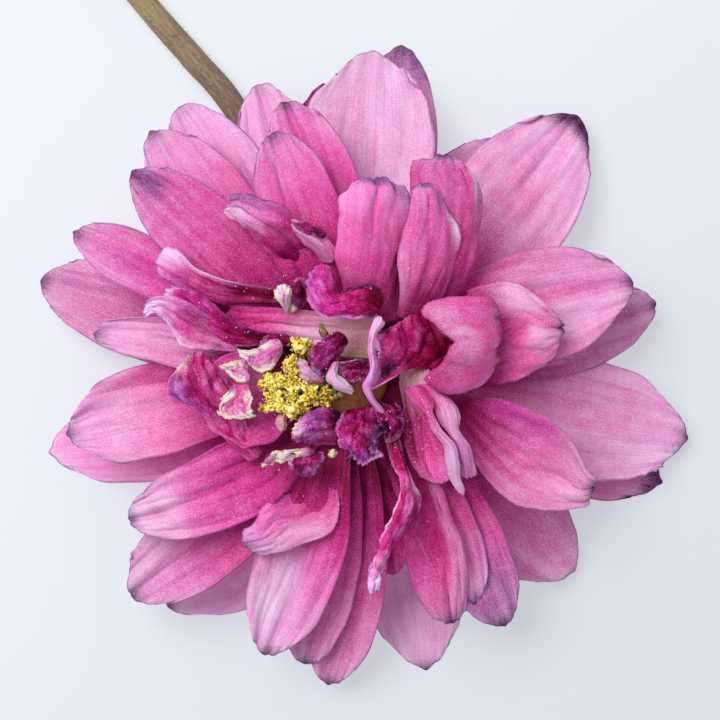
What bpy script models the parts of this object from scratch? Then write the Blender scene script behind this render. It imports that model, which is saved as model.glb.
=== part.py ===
"""Double columbine blossom with its cut stem, lying face up on a flat surface.

Metres, +Z up. The origin is on the surface that the blossom lies on, at the middle of the
footprint of the bloom and its stem. The bloom is about 50 mm across and faces +Z, with its
heart leaning a little to -X, and the stem leaves it to +Y.
"""

import math
import random
from collections import namedtuple

import bmesh
import bpy
import numpy as np
from mathutils import Matrix, Vector

MM = 0.001

# Driving dimensions in millimetres and degrees. Points are measured from the middle of the
# bloom, on the surface; PLACE is where that middle lies from the middle of the footprint
PLACE = (3.8, -11.2, 0.0)

# The gap between the pieces that touch each other on the real flower
GAP = 0.3

# The leaning middle line of the flower: a point on it, and how far it shifts for each mm up
AXIS_FOOT = (-0.3, -1.5, 7.0)
AXIS_LEAN = (-0.35, -0.10)

# The receptacle, a knob turned from (radius, height) points
RECEPTACLE_FOOT = 5.9
RECEPTACLE_TOP = 11.8
RECEPTACLE_PROFILE = (
    (0.0, RECEPTACLE_FOOT),
    (1.5, RECEPTACLE_FOOT),
    (2.6, 6.5),
    (2.7, 8.5),
    (2.2, 11.0),
    (1.8, RECEPTACLE_TOP),
    (0.0, RECEPTACLE_TOP),
)
RECEPTACLE_SIDES = 12

# Middle line of the stem, from its cut end to the flower's foot, and how thick it is along it
STEM_DIAMETER = 2.0
STEM_PATH = (
    (-33.0, 47.4, 1.0),
    (-25.0, 38.0, 1.0),
    (-17.3, 28.6, 1.0),
    (-13.2, 23.9, 1.0),
    (-10.2, 20.4, 1.0),
    (-6.6, 14.0, 1.0),
    (-3.6, 7.2, 1.1),
    (-1.5, 2.6, 1.8),
    (-0.3, -0.2, 3.0),
    (0.1, -1.2, 4.4),
    (0.1, -1.4, RECEPTACLE_FOOT - GAP),
)
STEM_SWELL = (0.92, 0.94, 0.98, 1.0, 1.0, 1.0, 1.0, 1.0, 1.05, 1.2, 1.4)

# The clump of stamens: its foot over the receptacle, the middle and half-sizes of the clump,
# its stalk, and its anthers, which lie round its upper half in a spiral
STAMEN_FOOT = (-2.8, -2.0, RECEPTACLE_TOP + GAP)
STAMEN_MIDDLE = (-4.8, -1.3, 13.5)
STAMEN_CLUMP = (1.9, 2.1, 0.8)
STAMEN_STALK_RADIUS = 0.6
STAMEN_STALK_SIDES = 8
ANTHER_SIZE = (0.62, 0.46, 0.42)
ANTHER_COUNT = 26
ANTHER_LOWEST = 0.05
ANTHER_SEED = 7
GOLDEN_ANGLE = 137.508

# The carpels: slender pods in a ring on a small base, turned from (radius, height) points
CARPEL_FOOT = (-1.75, -2.45, RECEPTACLE_TOP + GAP)
CARPEL_COUNT = 5
CARPEL_RING = 0.34
CARPEL_LIFT = 0.12
CARPEL_PROFILE = ((0.0, 0.0), (0.16, 0.0), (0.26, 0.6), (0.14, 1.1), (0.04, 1.5), (0.0, 1.5))
CARPEL_SIDES = 6
CARPEL_BASE = ((0.0, 0.0), (0.62, 0.0), (0.55, 0.3), (0.0, 0.3))
CARPEL_BASE_SIDES = 10

# What all petals share. Their blade is BLADE_COLUMNS faces wide, and an underside that comes
# within FLATTEN_BELOW of the surface lies flat on it. The claw is CLAW_WIDTH of the full
# width, and its gutter, CLAW_CUP steep, opens out over CLAW_LENGTH of the petal. WIDENING
# and NARROWING shape the outline either side of the widest place, and the corners of the tip
# fall back by ROUNDING, up to MOST_ROUNDING of the length. The curl starts over CURL_LENGTH.
BLADE_THICKNESS = 0.62
BLADE_COLUMNS = 4
FLATTEN_BELOW = 0.1
CLAW_WIDTH = 0.24
CLAW_CUP = 55.0
CLAW_LENGTH = 0.5
WIDENING = 1.2
NARROWING = 2.2
ROUNDING = 0.45
MOST_ROUNDING = 0.14
CURL_LENGTH = 0.6
CURL_POWER = 1.5
SECTION_STEPS = 12

# The ripples along a waved edge: how many, how they slant, and their shift for each mm of width
RIPPLES = 2.5
RIPPLE_SLANT = 2.0
RIPPLE_SHIFT = 40.0

# How each whorl grows from the receptacle: the height and radius of its ring, and the rows
# of faces along each of its blades
Whorl = namedtuple("Whorl", "height radius rows")

# One petal. tip is its point in mm. width is its full width. rise is how steeply it leaves
# the receptacle and dip how steeply it ends, downwards positive. bow turns its root to the
# left of its tip. roll and twist turn it about its length, at the root and further at the
# tip. cup lifts its edges and curl rolls its (left, right) edge further. wide is where it is
# widest, end the width of its tip as a share, and wave the height of its edge's ripples.
# arch is how long the midrib holds its end directions. root and facing, where given, take
# the place of the point on the whorl's ring and of the heading from the axis to the tip.
Petal = namedtuple(
    "Petal",
    "name tip width rise dip bow roll twist cup curl wide end wave arch root facing",
    defaults=(5, 15, 0, 0, 0, 15, (0, 0), 0.60, 0.45, 0.0, 0.36, None, None),
)

BACK = Whorl(height=7.0, radius=2.4, rows=4)
OUTER = Whorl(height=8.2, radius=2.2, rows=4)
MIDDLE = Whorl(height=9.4, radius=2.0, rows=5)
INNER = Whorl(height=10.4, radius=1.8, rows=5)
HEART = Whorl(height=11.2, radius=1.6, rows=4)

BACK_PETALS = (
    Petal("s1", (1.0, 24.5, 2.5), 10.2, rise=5, dip=20, cup=12, wide=0.65, end=0.55),
    Petal("s1b", (3.3, 25.0, -0.6), 7.0, rise=-5, dip=0, bow=-4, cup=5),
    Petal("s1c", (-2.9, 22.0, 1.0), 6.5, rise=-5, dip=5, cup=5),
    Petal("s2", (17.3, 19.3, 1.5), 10.0, rise=5, dip=10, bow=-4, cup=10),
    Petal("s2b", (10.6, 17.6, -0.6), 7.0, rise=-5, dip=0, cup=5),
    Petal("s3", (23.4, 4.4, 2.0), 7.5, rise=0, dip=15),
    Petal("s4", (26.0, -6.2, 1.5), 9.5, rise=5, dip=10, cup=10),
    Petal("s4b", (23.9, -9.7, -1.0), 7.0, rise=-5, dip=0, cup=5),
    Petal("s5", (17.0, -16.8, 1.5), 8.4, rise=0, dip=10, bow=-3, end=0.65),
    Petal("s6", (5.2, -24.6, -1.2), 8.2, rise=-5, dip=0, bow=6, cup=5),
    Petal("s7", (-15.3, -19.7, -0.6), 9.0, rise=-5, dip=0, bow=12, cup=5),
    Petal("s8", (-24.6, -7.3, -1.0), 7.4, rise=-5, dip=0, bow=4, cup=5),
    Petal("s9", (-25.3, 6.3, 1.5), 7.3, rise=-5, dip=5, cup=10),
    Petal("s10", (-14.3, 20.1, 4.0), 7.0, rise=5, dip=15, cup=10),
    Petal("s11", (-8.1, 21.7, 4.0), 7.0, rise=5, dip=15, cup=10),
)
OUTER_PETALS = (
    Petal("m1", (-5.9, 20.0, 9.0), 6.6, rise=20, dip=15, bow=-10),
    Petal("m3", (-16.2, 17.7, 7.0), 7.2, rise=10, dip=15, bow=3),
    Petal("m5", (-22.2, 9.9, 8.0), 4.6, rise=10, dip=5, bow=-4, wide=0.7),
    Petal("m9", (-20.7, 2.0, 7.5), 4.0, rise=10, dip=15, curl=(60, 60), bow=-6),
    Petal("m10", (-22.9, -5.8, 5.5), 7.4, rise=5, dip=10, bow=-6, wide=0.65),
    Petal("m12", (-17.9, -18.6, 4.5), 7.2, rise=5, dip=15, bow=6),
    Petal("m15", (-4.3, -24.0, 4.0), 6.0, rise=5, dip=15),
    Petal("m16", (-2.5, -25.6, 2.5), 6.4, rise=0, dip=15, bow=8),
    Petal("m18b", (8.9, -19.0, 6.5), 5.0, rise=15, dip=20, bow=10),
    Petal("m19", (11.4, -20.8, 5.5), 6.2, rise=10, dip=15, bow=8),
    Petal("m21", (21.3, 6.0, 6.5), 9.0, rise=15, dip=10, bow=6),
)
MIDDLE_PETALS = (
    Petal("m2", (-6.8, 17.6, 11.0), 6.3, rise=30, dip=20, bow=-6),
    Petal("m4", (-17.6, 14.5, 8.5), 6.2, rise=20, dip=15, bow=-5),
    Petal("m7", (-15.9, 7.9, 10.0), 4.4, rise=25, dip=15, curl=(50, 0)),
    Petal("m11", (-18.0, -12.4, 8.0), 6.2, rise=15, dip=15, bow=20),
    Petal("m14", (-7.4, -23.0, 6.0), 6.9, rise=15, dip=15, bow=4),
    Petal("m18", (8.0, -20.5, 8.0), 5.2, rise=25, dip=25, bow=4),
    Petal("m20", (18.4, -10.1, 8.0), 6.8, rise=25, dip=15, bow=-6),
    Petal("m22", (15.7, 2.9, 10.5), 6.6, rise=35, dip=20, bow=4),
    Petal("m24", (6.6, 15.7, 14.0), 6.2, rise=45, dip=0, bow=-30, end=0.6),
)
INNER_PETALS = (
    Petal("m6", (-10.6, 11.7, 13.0), 4.8, rise=45, dip=10, bow=-28, curl=(0, 120)),
    Petal("m8", (-16.7, 3.7, 11.0), 4.4, rise=30, dip=10, wave=0.3),
    Petal("m8b", (-15.4, 5.4, 11.5), 4.4, rise=30, dip=10, wave=0.3),
    Petal("m13", (-8.9, -14.8, 11.0), 4.6, rise=25, dip=25, bow=42),
    Petal("m17", (1.0, -18.2, 11.0), 4.0, rise=40, dip=20, curl=(60, 80), bow=18),
    Petal("m23", (10.9, 3.0, 15.0), 6.6, rise=55, dip=-5, bow=6),
    Petal("m25", (4.7, 12.9, 16.0), 6.0, rise=60, dip=-10, bow=-35),
    Petal("m26", (1.4, 13.6, 17.0), 6.4, rise=60, dip=0, bow=-15),
    Petal("n1", (7.9, -10.4, 11.0), 3.4, rise=45, dip=20, curl=(60, 60), bow=18),
    Petal("n2", (9.2, -9.3, 10.0), 3.4, rise=40, dip=20, curl=(60, 60), bow=24),
)
HEART_PETALS = (
    Petal("k1", (-12.3, -3.4, 12.5), 7.5, rise=5, dip=-25, cup=30, end=0.7),
    Petal("h1", (-1.5, 6.7, 16.5), 6.0, rise=15, dip=-70, curl=(70, 70), wave=0.4),
    Petal("h2", (-6.5, 5.3, 13.5), 3.2, rise=20, dip=0, curl=(40, 60)),
    Petal("h3", (1.1, -0.2, 17.0), 7.0, 80, -60, wave=0.4, root=(0.1, -1.0, 10.8), facing=0),
    Petal("h4", (-4.3, -1.0, 15.8), 3.4, 100, 20, cup=-50, arch=0.5, root=(-0.9, -0.4, 10.8), facing=225),
    Petal("h5", (-2.3, -1.7, 14.4), 2.8, 95, 20, cup=-30, arch=0.5, root=(-0.4, -1.7, 10.8), facing=190),
    Petal("h6", (-5.9, -5.9, 13.6), 3.6, rise=45, dip=20, bow=8, cup=-30),
    Petal("h7", (0.2, -7.9, 15.5), 5.2, rise=30, dip=-60, wave=0.4),
    Petal("h8", (-7.5, -8.0, 12.6), 2.6, rise=10, dip=10, wave=0.3),
    Petal("h9", (-10.9, -4.1, 13.6), 3.0, rise=10, dip=-30, wide=0.75),
    Petal("h10", (-10.7, -0.6, 13.5), 2.4, rise=10, dip=-30, wide=0.75),
    Petal("h11", (-9.5, 0.7, 14.0), 3.2, rise=15, dip=-30, wide=0.70),
    Petal("h12", (-13.9, 0.6, 12.8), 4.2, rise=10, dip=0, bow=60, cup=-40, arch=0.6),
)

WHORLS = (
    (BACK, BACK_PETALS),
    (OUTER, OUTER_PETALS),
    (MIDDLE, MIDDLE_PETALS),
    (INNER, INNER_PETALS),
    (HEART, HEART_PETALS),
)


def axis_at(height):
    """Middle of the leaning flower at a height above the surface."""
    rise = height - AXIS_FOOT[2]
    return np.array([AXIS_FOOT[0] + AXIS_LEAN[0] * rise, AXIS_FOOT[1] + AXIS_LEAN[1] * rise, height])


def direction(heading, elevation):
    """Unit vector from a heading and an elevation in degrees."""
    h, e = math.radians(heading), math.radians(elevation)
    return np.array([math.cos(h) * math.cos(e), math.sin(h) * math.cos(e), math.sin(e)])


def arc_section(side, cup, curl):
    """Across and up, in half-widths, along a section that bends by cup and then by curl."""
    across, up = np.zeros_like(side), np.zeros_like(side)
    for step in range(SECTION_STEPS):
        t = side * (step + 0.5) / SECTION_STEPS
        angle = cup * t + curl * np.clip(2.0 * t - 1.0, 0.0, 1.0) ** CURL_POWER
        across += np.cos(angle) * side / SECTION_STEPS
        up += np.sin(angle) * side / SECTION_STEPS
    return across, up


def half_width(petal, u):
    """Half-width of a petal at u, from its narrow claw to its rounded tip."""
    before = np.clip(u / petal.wide, 0.0, 1.0)
    after = np.clip((u - petal.wide) / (1.0 - petal.wide), 0.0, 1.0)
    rising = CLAW_WIDTH + (1.0 - CLAW_WIDTH) * np.sin(0.5 * math.pi * before) ** WIDENING
    falling = np.sqrt(1.0 - (1.0 - petal.end**2) * after**NARROWING)
    return 0.5 * petal.width * np.where(u < petal.wide, rising, falling)


def petal_surface(petal, whorl, u, v):
    """Middle surface of a petal: u runs from root to tip, v from -1 (right) to 1 (left)."""
    tip = np.array(petal.tip)
    axis = axis_at(whorl.height)
    heading = math.degrees(math.atan2(tip[1] - axis[1], tip[0] - axis[0]))
    root = axis + whorl.radius * direction(heading + petal.bow, 0.0)
    if petal.root is not None:
        root = np.array(petal.root)
        heading = math.degrees(math.atan2(tip[1] - root[1], tip[0] - root[0]))
    if petal.facing is not None:
        heading = petal.facing
    length = np.linalg.norm(tip - root)
    hold = petal.arch * length
    near = root + hold * direction(heading + petal.bow, petal.rise)
    far = tip - hold * direction(heading - petal.bow, -petal.dip)

    # The tip is rounded by letting the end of the grid fall back towards its sides
    after = np.clip((u - petal.wide) / (1.0 - petal.wide), 0.0, 1.0)
    fall_back = min(ROUNDING * petal.end * petal.width / length, MOST_ROUNDING)
    s = u - fall_back * (v * after) ** 2
    r = 1.0 - s
    rib = (
        np.outer(r**3, root)
        + np.outer(3 * r**2 * s, near)
        + np.outer(3 * r * s**2, far)
        + np.outer(s**3, tip)
    )
    along = np.outer(3 * r**2, near - root) + np.outer(6 * r * s, far - near) + np.outer(3 * s**2, tip - far)
    along /= np.linalg.norm(along, axis=1)[:, None]
    left = direction(heading + 90.0, 0.0)
    left = left - along * (along @ left)[:, None]
    left /= np.linalg.norm(left, axis=1)[:, None]
    up = np.cross(along, left)
    turn = np.radians(petal.roll + petal.twist * s)[:, None]
    left, up = left * np.cos(turn) + up * np.sin(turn), up * np.cos(turn) - left * np.sin(turn)

    open_out = np.clip(u / CLAW_LENGTH, 0.0, 1.0)
    cup = np.radians(petal.cup * open_out + CLAW_CUP * (1.0 - open_out))
    curl = np.radians(np.where(v > 0, petal.curl[0], petal.curl[1]))
    curl = curl * np.clip(u / CURL_LENGTH, 0.0, 1.0) ** CURL_POWER
    across, lift = arc_section(np.abs(v), cup, curl)
    phase = math.tau * RIPPLES * u + RIPPLE_SLANT * v + RIPPLE_SHIFT * petal.width
    ripple = petal.wave * np.sin(phase) * v**2
    width = half_width(petal, u)
    point = rib + left * (np.sign(v) * across * width)[:, None] + up * (lift * width + ripple)[:, None]
    point[:, 2] = np.maximum(point[:, 2], 0.5 * BLADE_THICKNESS)
    return point


def blade(petal, whorl):
    """Closed solid of one petal, as a bmesh in millimetres."""
    bm = bmesh.new()
    bmesh.ops.create_grid(bm, x_segments=BLADE_COLUMNS, y_segments=whorl.rows, size=1.0)
    grid = np.array([vertex.co for vertex in bm.verts])
    points = petal_surface(petal, whorl, 0.5 * (grid[:, 1] + 1.0), -grid[:, 0])
    for vertex, point in zip(bm.verts, points):
        vertex.co = point
    bmesh.ops.triangulate(bm, faces=bm.faces[:])
    bm.normal_update()
    back = {vertex: 0.5 * BLADE_THICKNESS * vertex.normal for vertex in bm.verts}
    made = bmesh.ops.extrude_face_region(bm, geom=bm.faces[:], use_keep_orig=True)
    front = [item for item in made["geom"] if isinstance(item, bmesh.types.BMVert)]
    for vertex in front:
        vertex.co += 0.5 * BLADE_THICKNESS * vertex.normal
    for vertex, offset in back.items():
        vertex.co -= offset
        if vertex.co.z < FLATTEN_BELOW:
            vertex.co.z = 0.0
    bmesh.ops.recalc_face_normals(bm, faces=bm.faces[:])
    return bm


def turned(profile, sides):
    """Closed solid turned about Z from (radius, height) points, as a bmesh in millimetres."""
    bm = bmesh.new()
    points = [bm.verts.new((radius, 0.0, height)) for radius, height in profile]
    edges = [bm.edges.new(pair) for pair in zip(points, points[1:])]
    bmesh.ops.spin(
        bm,
        geom=points + edges,
        angle=math.tau,
        steps=sides,
        axis=(0, 0, 1),
        cent=(0, 0, 0),
        use_merge=True,
    )
    bmesh.ops.remove_doubles(bm, verts=bm.verts[:], dist=0.001)
    bmesh.ops.recalc_face_normals(bm, faces=bm.faces[:])
    return bm


def receptacle():
    """Leaning knob that every claw is sunk in, as a bmesh in millimetres."""
    bm = turned(RECEPTACLE_PROFILE, RECEPTACLE_SIDES)
    for vertex in bm.verts:
        middle = axis_at(vertex.co.z)
        vertex.co.x += middle[0]
        vertex.co.y += middle[1]
    return bm


def add_object(name, bm):
    """Object made from a bmesh in millimetres, which is freed."""
    bmesh.ops.translate(bm, vec=Vector(PLACE), verts=bm.verts[:])
    bmesh.ops.scale(bm, vec=Vector((MM, MM, MM)), verts=bm.verts[:])
    mesh = bpy.data.meshes.new(name)
    bm.to_mesh(mesh)
    bm.free()
    item = bpy.data.objects.new(name, mesh)
    bpy.context.scene.collection.objects.link(item)
    return item


def join_by_union(base, repeats, solver):
    """Joins the repeats into the base with one Boolean union and removes them."""
    group = bpy.data.collections.new(base.name + "_repeats")
    bpy.context.scene.collection.children.link(group)
    for item in repeats:
        bpy.context.scene.collection.objects.unlink(item)
        group.objects.link(item)
    union = base.modifiers.new("union", "BOOLEAN")
    union.operation = "UNION"
    union.operand_type = "COLLECTION"
    union.collection = group
    union.solver = solver
    bpy.context.view_layer.update()
    graph = bpy.context.evaluated_depsgraph_get()
    joined = bpy.data.meshes.new_from_object(base.evaluated_get(graph))
    base.modifiers.clear()
    base.data = joined
    joined.name = base.name
    for item in list(group.objects):
        bpy.data.objects.remove(item)
    bpy.data.collections.remove(group)


def keep_largest_body(item):
    """Drops loose scraps, and fills hollows that the union sealed, by leaving one shell."""
    bm = bmesh.new()
    bm.from_mesh(item.data)
    unseen = set(bm.verts)
    shells = []
    while unseen:
        shell = [unseen.pop()]
        for vertex in shell:
            near = {edge.other_vert(vertex) for edge in vertex.link_edges} & unseen
            unseen -= near
            shell.extend(near)
        shells.append(shell)
    shells.sort(key=len)
    for shell in shells[:-1]:
        bmesh.ops.delete(bm, geom=shell, context="VERTS")
    bm.to_mesh(item.data)
    bm.free()


def stem():
    """Cut stem: it lies on the surface and bends up under the flower."""
    curve = bpy.data.curves.new("stem", "CURVE")
    curve.dimensions = "3D"
    curve.bevel_depth = 0.5 * STEM_DIAMETER * MM
    curve.bevel_resolution = 3
    curve.resolution_u = 4
    curve.use_fill_caps = True
    spline = curve.splines.new("BEZIER")
    spline.bezier_points.add(len(STEM_PATH) - 1)
    for knot, point, swell in zip(spline.bezier_points, STEM_PATH, STEM_SWELL):
        knot.co = (Vector(point) + Vector(PLACE)) * MM
        knot.handle_left_type = knot.handle_right_type = "AUTO"
        knot.radius = swell
    item = bpy.data.objects.new("stem", curve)
    bpy.context.scene.collection.objects.link(item)
    return item


def stamen_stalk():
    """Leaning stalk that carries the clump of anthers, as a bmesh in millimetres."""
    foot, middle = Vector(STAMEN_FOOT), Vector(STAMEN_MIDDLE)
    height = middle.z - foot.z
    profile = ((0.0, 0.0), (STAMEN_STALK_RADIUS, 0.0), (STAMEN_STALK_RADIUS, height), (0.0, height))
    bm = turned(profile, STAMEN_STALK_SIDES)
    for vertex in bm.verts:
        vertex.co += foot + (middle - foot).xy.to_3d() * vertex.co.z / height
    return bm


def anther(index, turn):
    """One anther at its place in the spiral, turned about Z, as a bmesh in millimetres."""
    height = 1.0 - (1.0 - ANTHER_LOWEST) * index / ANTHER_COUNT
    spread = math.sqrt(1.0 - height**2)
    heading = math.radians(GOLDEN_ANGLE * index)
    offset = Vector((spread * math.cos(heading), spread * math.sin(heading), height))
    bm = bmesh.new()
    bmesh.ops.create_icosphere(bm, subdivisions=1, radius=1.0)
    bmesh.ops.scale(bm, vec=Vector(ANTHER_SIZE), verts=bm.verts[:])
    bmesh.ops.rotate(bm, cent=(0, 0, 0), matrix=Matrix.Rotation(turn, 3, "Z"), verts=bm.verts[:])
    bmesh.ops.translate(bm, vec=Vector(STAMEN_MIDDLE) + offset * Vector(STAMEN_CLUMP), verts=bm.verts[:])
    return bm


def stamens():
    """Clump of anthers on their leaning stalk, fused into one body."""
    draw = random.Random(ANTHER_SEED)
    core = bmesh.new()
    bmesh.ops.create_icosphere(core, subdivisions=2, radius=1.0)
    bmesh.ops.scale(core, vec=Vector(STAMEN_CLUMP), verts=core.verts[:])
    bmesh.ops.translate(core, vec=Vector(STAMEN_MIDDLE), verts=core.verts[:])
    clump = add_object("stamens", core)
    repeats = [add_object("stamen_stalk", stamen_stalk())]
    for index in range(ANTHER_COUNT):
        repeats.append(add_object("anther", anther(index, draw.uniform(0.0, math.tau))))
    join_by_union(clump, repeats, "EXACT")
    keep_largest_body(clump)
    return clump


def carpels():
    """Slender pods standing in a ring on one small base, fused into one body."""
    base = turned(CARPEL_BASE, CARPEL_BASE_SIDES)
    bmesh.ops.translate(base, vec=Vector(CARPEL_FOOT), verts=base.verts[:])
    cluster = add_object("carpels", base)
    repeats = []
    for index in range(CARPEL_COUNT):
        heading = math.tau * (index + 0.5) / CARPEL_COUNT
        ring = Vector((CARPEL_RING * math.cos(heading), CARPEL_RING * math.sin(heading), CARPEL_LIFT))
        pod = turned(CARPEL_PROFILE, CARPEL_SIDES)
        bmesh.ops.translate(pod, vec=Vector(CARPEL_FOOT) + ring, verts=pod.verts[:])
        repeats.append(add_object("carpel", pod))
    join_by_union(cluster, repeats, "EXACT")
    keep_largest_body(cluster)
    return cluster


def petals():
    """Every sepal and petal, fused with the receptacle that they grow from into one body."""
    blades = []
    for whorl, members in WHORLS:
        for petal in members:
            blades.append(add_object("petal_" + petal.name, blade(petal, whorl)))
    bloom = add_object("petals", receptacle())
    join_by_union(bloom, blades, "MANIFOLD")
    keep_largest_body(bloom)
    return bloom


def give_material(item, color, roughness):
    """Gives an object its own plain Principled material."""
    material = bpy.data.materials.new(item.name)
    material.use_nodes = True
    shader = material.node_tree.nodes["Principled BSDF"]
    shader.inputs["Base Color"].default_value = (*color, 1.0)
    shader.inputs["Roughness"].default_value = roughness
    shader.inputs["Metallic"].default_value = 0.0
    item.data.materials.clear()
    item.data.materials.append(material)


def main():
    for item in list(bpy.data.objects):
        bpy.data.objects.remove(item)
    give_material(petals(), color=(0.70, 0.16, 0.43), roughness=0.55)
    give_material(stem(), color=(0.30, 0.24, 0.08), roughness=0.60)
    give_material(stamens(), color=(0.85, 0.72, 0.12), roughness=0.70)
    give_material(carpels(), color=(0.40, 0.42, 0.14), roughness=0.60)


main()
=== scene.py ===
"""Double columbine blossom with its cut stem, lying face up: the fine pieces and their finishes.

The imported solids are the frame. The plain petals follow the same midribs, widths and whorls as
their blades in the solids, and the folded ones run through cross-sections of their own. All have
thin edges, pleats, dents and ruffled margins.
"""

import math
import random
from collections import namedtuple

import bmesh
import bpy
import numpy as np
from bpy.props import FloatProperty, FloatVectorProperty, IntProperty, PointerProperty
from mathutils import Matrix, Vector, noise


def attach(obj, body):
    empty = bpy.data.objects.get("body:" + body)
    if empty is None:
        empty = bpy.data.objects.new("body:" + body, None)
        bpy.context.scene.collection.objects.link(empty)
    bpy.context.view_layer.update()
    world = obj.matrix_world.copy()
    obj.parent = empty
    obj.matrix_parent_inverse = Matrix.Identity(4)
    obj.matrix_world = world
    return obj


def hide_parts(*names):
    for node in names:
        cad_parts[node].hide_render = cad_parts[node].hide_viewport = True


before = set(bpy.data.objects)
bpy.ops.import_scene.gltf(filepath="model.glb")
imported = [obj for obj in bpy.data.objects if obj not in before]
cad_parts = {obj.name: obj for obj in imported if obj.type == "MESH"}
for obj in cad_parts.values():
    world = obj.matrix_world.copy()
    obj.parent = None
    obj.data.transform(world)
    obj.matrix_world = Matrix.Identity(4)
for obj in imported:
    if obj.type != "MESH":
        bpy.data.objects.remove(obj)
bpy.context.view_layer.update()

bl_info = {
    "name": "Columbine Blossom",
    "version": (1, 0, 0),
    "blender": (4, 5, 0),
    "location": "3D View > Sidebar > Columbine",
    "description": "Builds a double columbine blossom with its cut stem, lying face up",
    "category": "Add Mesh",
}

MM = 0.001

# Driving dimensions in millimetres and degrees. Points are measured from the middle of the
# bloom, on the surface; PLACE is where that middle lies in the frame
PLACE = (3.8, -11.2, 0.0)

# The leaning middle line of the flower: a point on it, and how far it shifts for each mm up
AXIS_FOOT = (-0.3, -1.5, 7.0)
AXIS_LEAN = (-0.35, -0.10)

# The receptacle, a knob turned from (radius, height) points
RECEPTACLE_PROFILE = (
    (0.0, 5.9), (1.5, 5.9), (2.4, 6.4), (2.6, 7.4), (2.5, 9.0), (2.1, 11.0), (1.5, 11.6), (0.0, 11.8),
)
RECEPTACLE_SIDES = 40

# Middle line of the stem, from its cut end to the flower's foot, and how thick it is along it
STEM_PATH = (
    (-33.0, 47.4, 1.0), (-25.0, 38.0, 1.0), (-17.3, 28.6, 1.0), (-13.2, 23.9, 1.0),
    (-10.2, 20.4, 1.0), (-6.6, 14.0, 1.0), (-3.6, 7.2, 1.1), (-1.5, 2.6, 1.8),
    (-0.3, -0.2, 3.0), (0.1, -1.2, 4.4), (0.1, -1.4, 5.6),
)
STEM_SWELL = (0.92, 0.94, 0.98, 1.0, 1.0, 1.0, 1.0, 1.0, 1.05, 1.2, 1.4)
STEM_SIDES = 30
STEM_STEPS = 10
STEM_RIBS = 6.0
HAIR_FOOT_RADIUS = 0.02
HAIR_TIP_RADIUS = 0.003
HAIR_LEAN = 0.6
# Hairs that would end lower than this are left out
HAIR_CLEARANCE = 0.05

STAMEN_FOOT = (-2.8, -2.0, 12.0)
# Lobes of the clump of anthers: middle, half-sizes, and its share of the anthers
STAMEN_LOBES = (
    ((-4.6, 1.1, 13.7), (0.75, 0.5, 0.6), 0.10),
    ((-5.1, -0.3, 13.6), (0.65, 0.65, 0.7), 0.10),
    ((-5.7, -1.3, 13.5), (0.75, 0.7, 0.7), 0.12),
    ((-6.9, -2.0, 13.3), (0.65, 0.75, 0.7), 0.12),
    ((-7.1, -3.4, 13.1), (0.55, 0.4, 0.4), 0.05),
    ((-6.0, -3.1, 13.2), (0.8, 0.8, 0.7), 0.15),
    ((-4.5, -2.6, 13.6), (1.1, 0.85, 0.9), 0.18),
    ((-4.8, -3.9, 13.1), (1.0, 0.55, 0.6), 0.10),
    ((-3.0, -2.8, 13.0), (0.9, 0.6, 0.5), 0.08),
)
ANTHER_SHAPE = (0.75, 0.62, 0.9)
SMALLEST_ANTHER = 0.55
LARGEST_ANTHER = 1.25
ANTHER_TILT = 0.9
FILAMENT_RADIUS = 0.09
FILAMENT_SPREAD = 0.9
FILAMENT_SIDES = 6

CARPEL_FOOT = (-1.75, -2.45, 12.1)
CARPEL_COUNT = 5
CARPEL_SIDES = 12
CARPEL_RING = 0.30
# Middle line of a carpel from its foot: how far it bends out and how high it is
CARPEL_LINE = ((0.0, -0.3), (0.0, 0.6), (0.05, 1.15), (0.22, 1.6))
# How thick a carpel is along its length: the shares of the length, and the radii there
CARPEL_RADII = ((0.0, 0.3, 0.6, 0.8, 1.0), (0.2, 0.27, 0.2, 0.08, 0.03))

# How the loose pollen is shared among the petals
DUSTED = {"heart_petals": 0.35, "inner_petals": 0.4, "middle_petals": 0.25}

# Starting numbers of the random draws
FIELD_SEED = 3
STAMEN_SEED = 5
DUST_SEED = 8
STEM_SEED = 11

# Colours of the small parts, and of the hollows in them
POWDER_LIGHT = (0.98, 0.92, 0.62)
POLLEN_HOLLOW = (0.60, 0.48, 0.05)
DUST_HOLLOW = (0.90, 0.50, 0.45)
FILAMENT_HOLLOW = (0.20, 0.12, 0.03)
CARPEL_HOLLOW = (0.20, 0.15, 0.05)
# The knob's dark browns are painted shade, as it sits deep in the throat
KNOB_IN_SHADE = (0.46, 0.17, 0.06)
KNOB_HOLLOW_IN_SHADE = (0.34, 0.11, 0.045)
HAIR = (0.60, 0.48, 0.32)
HAIR_HOLLOW = (0.35, 0.25, 0.16)
STEM_FIBRE = (0.50, 0.38, 0.22)
STEM_FLECK = (0.10, 0.06, 0.05)
PAPER_GLOW = (0.93, 0.96, 1.0)

# The stage: half the width of the surface and how far it lies under the flower, in metres, how
# much it darkens and which way, the main light's way and softness, and the height in mm that the
# view's width is for
SURFACE_HALF = 1.5
SURFACE_DROP = 0.00005
SURFACE_DIM = 0.58
LOWER_RIGHT = (0.7, -0.7, 0.0)
SUN_WAY = (-0.50, 0.45, 1.0)
SUN_ANGLE = 40.0
FLOWER_HEIGHT = 8.0

# Waves in seeded directions, which add up to the unevenness of the petals
FIELD_COUNT = 12
FIELD_SHARE = 0.06
FIELD_SPREAD = 3.2
FIELD_DRAW = np.random.default_rng(FIELD_SEED)
FIELD_WAVES = FIELD_DRAW.normal(size=(3, FIELD_COUNT)) * FIELD_SPREAD
FIELD_PHASES = FIELD_DRAW.uniform(0.0, math.tau, FIELD_COUNT)

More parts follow.
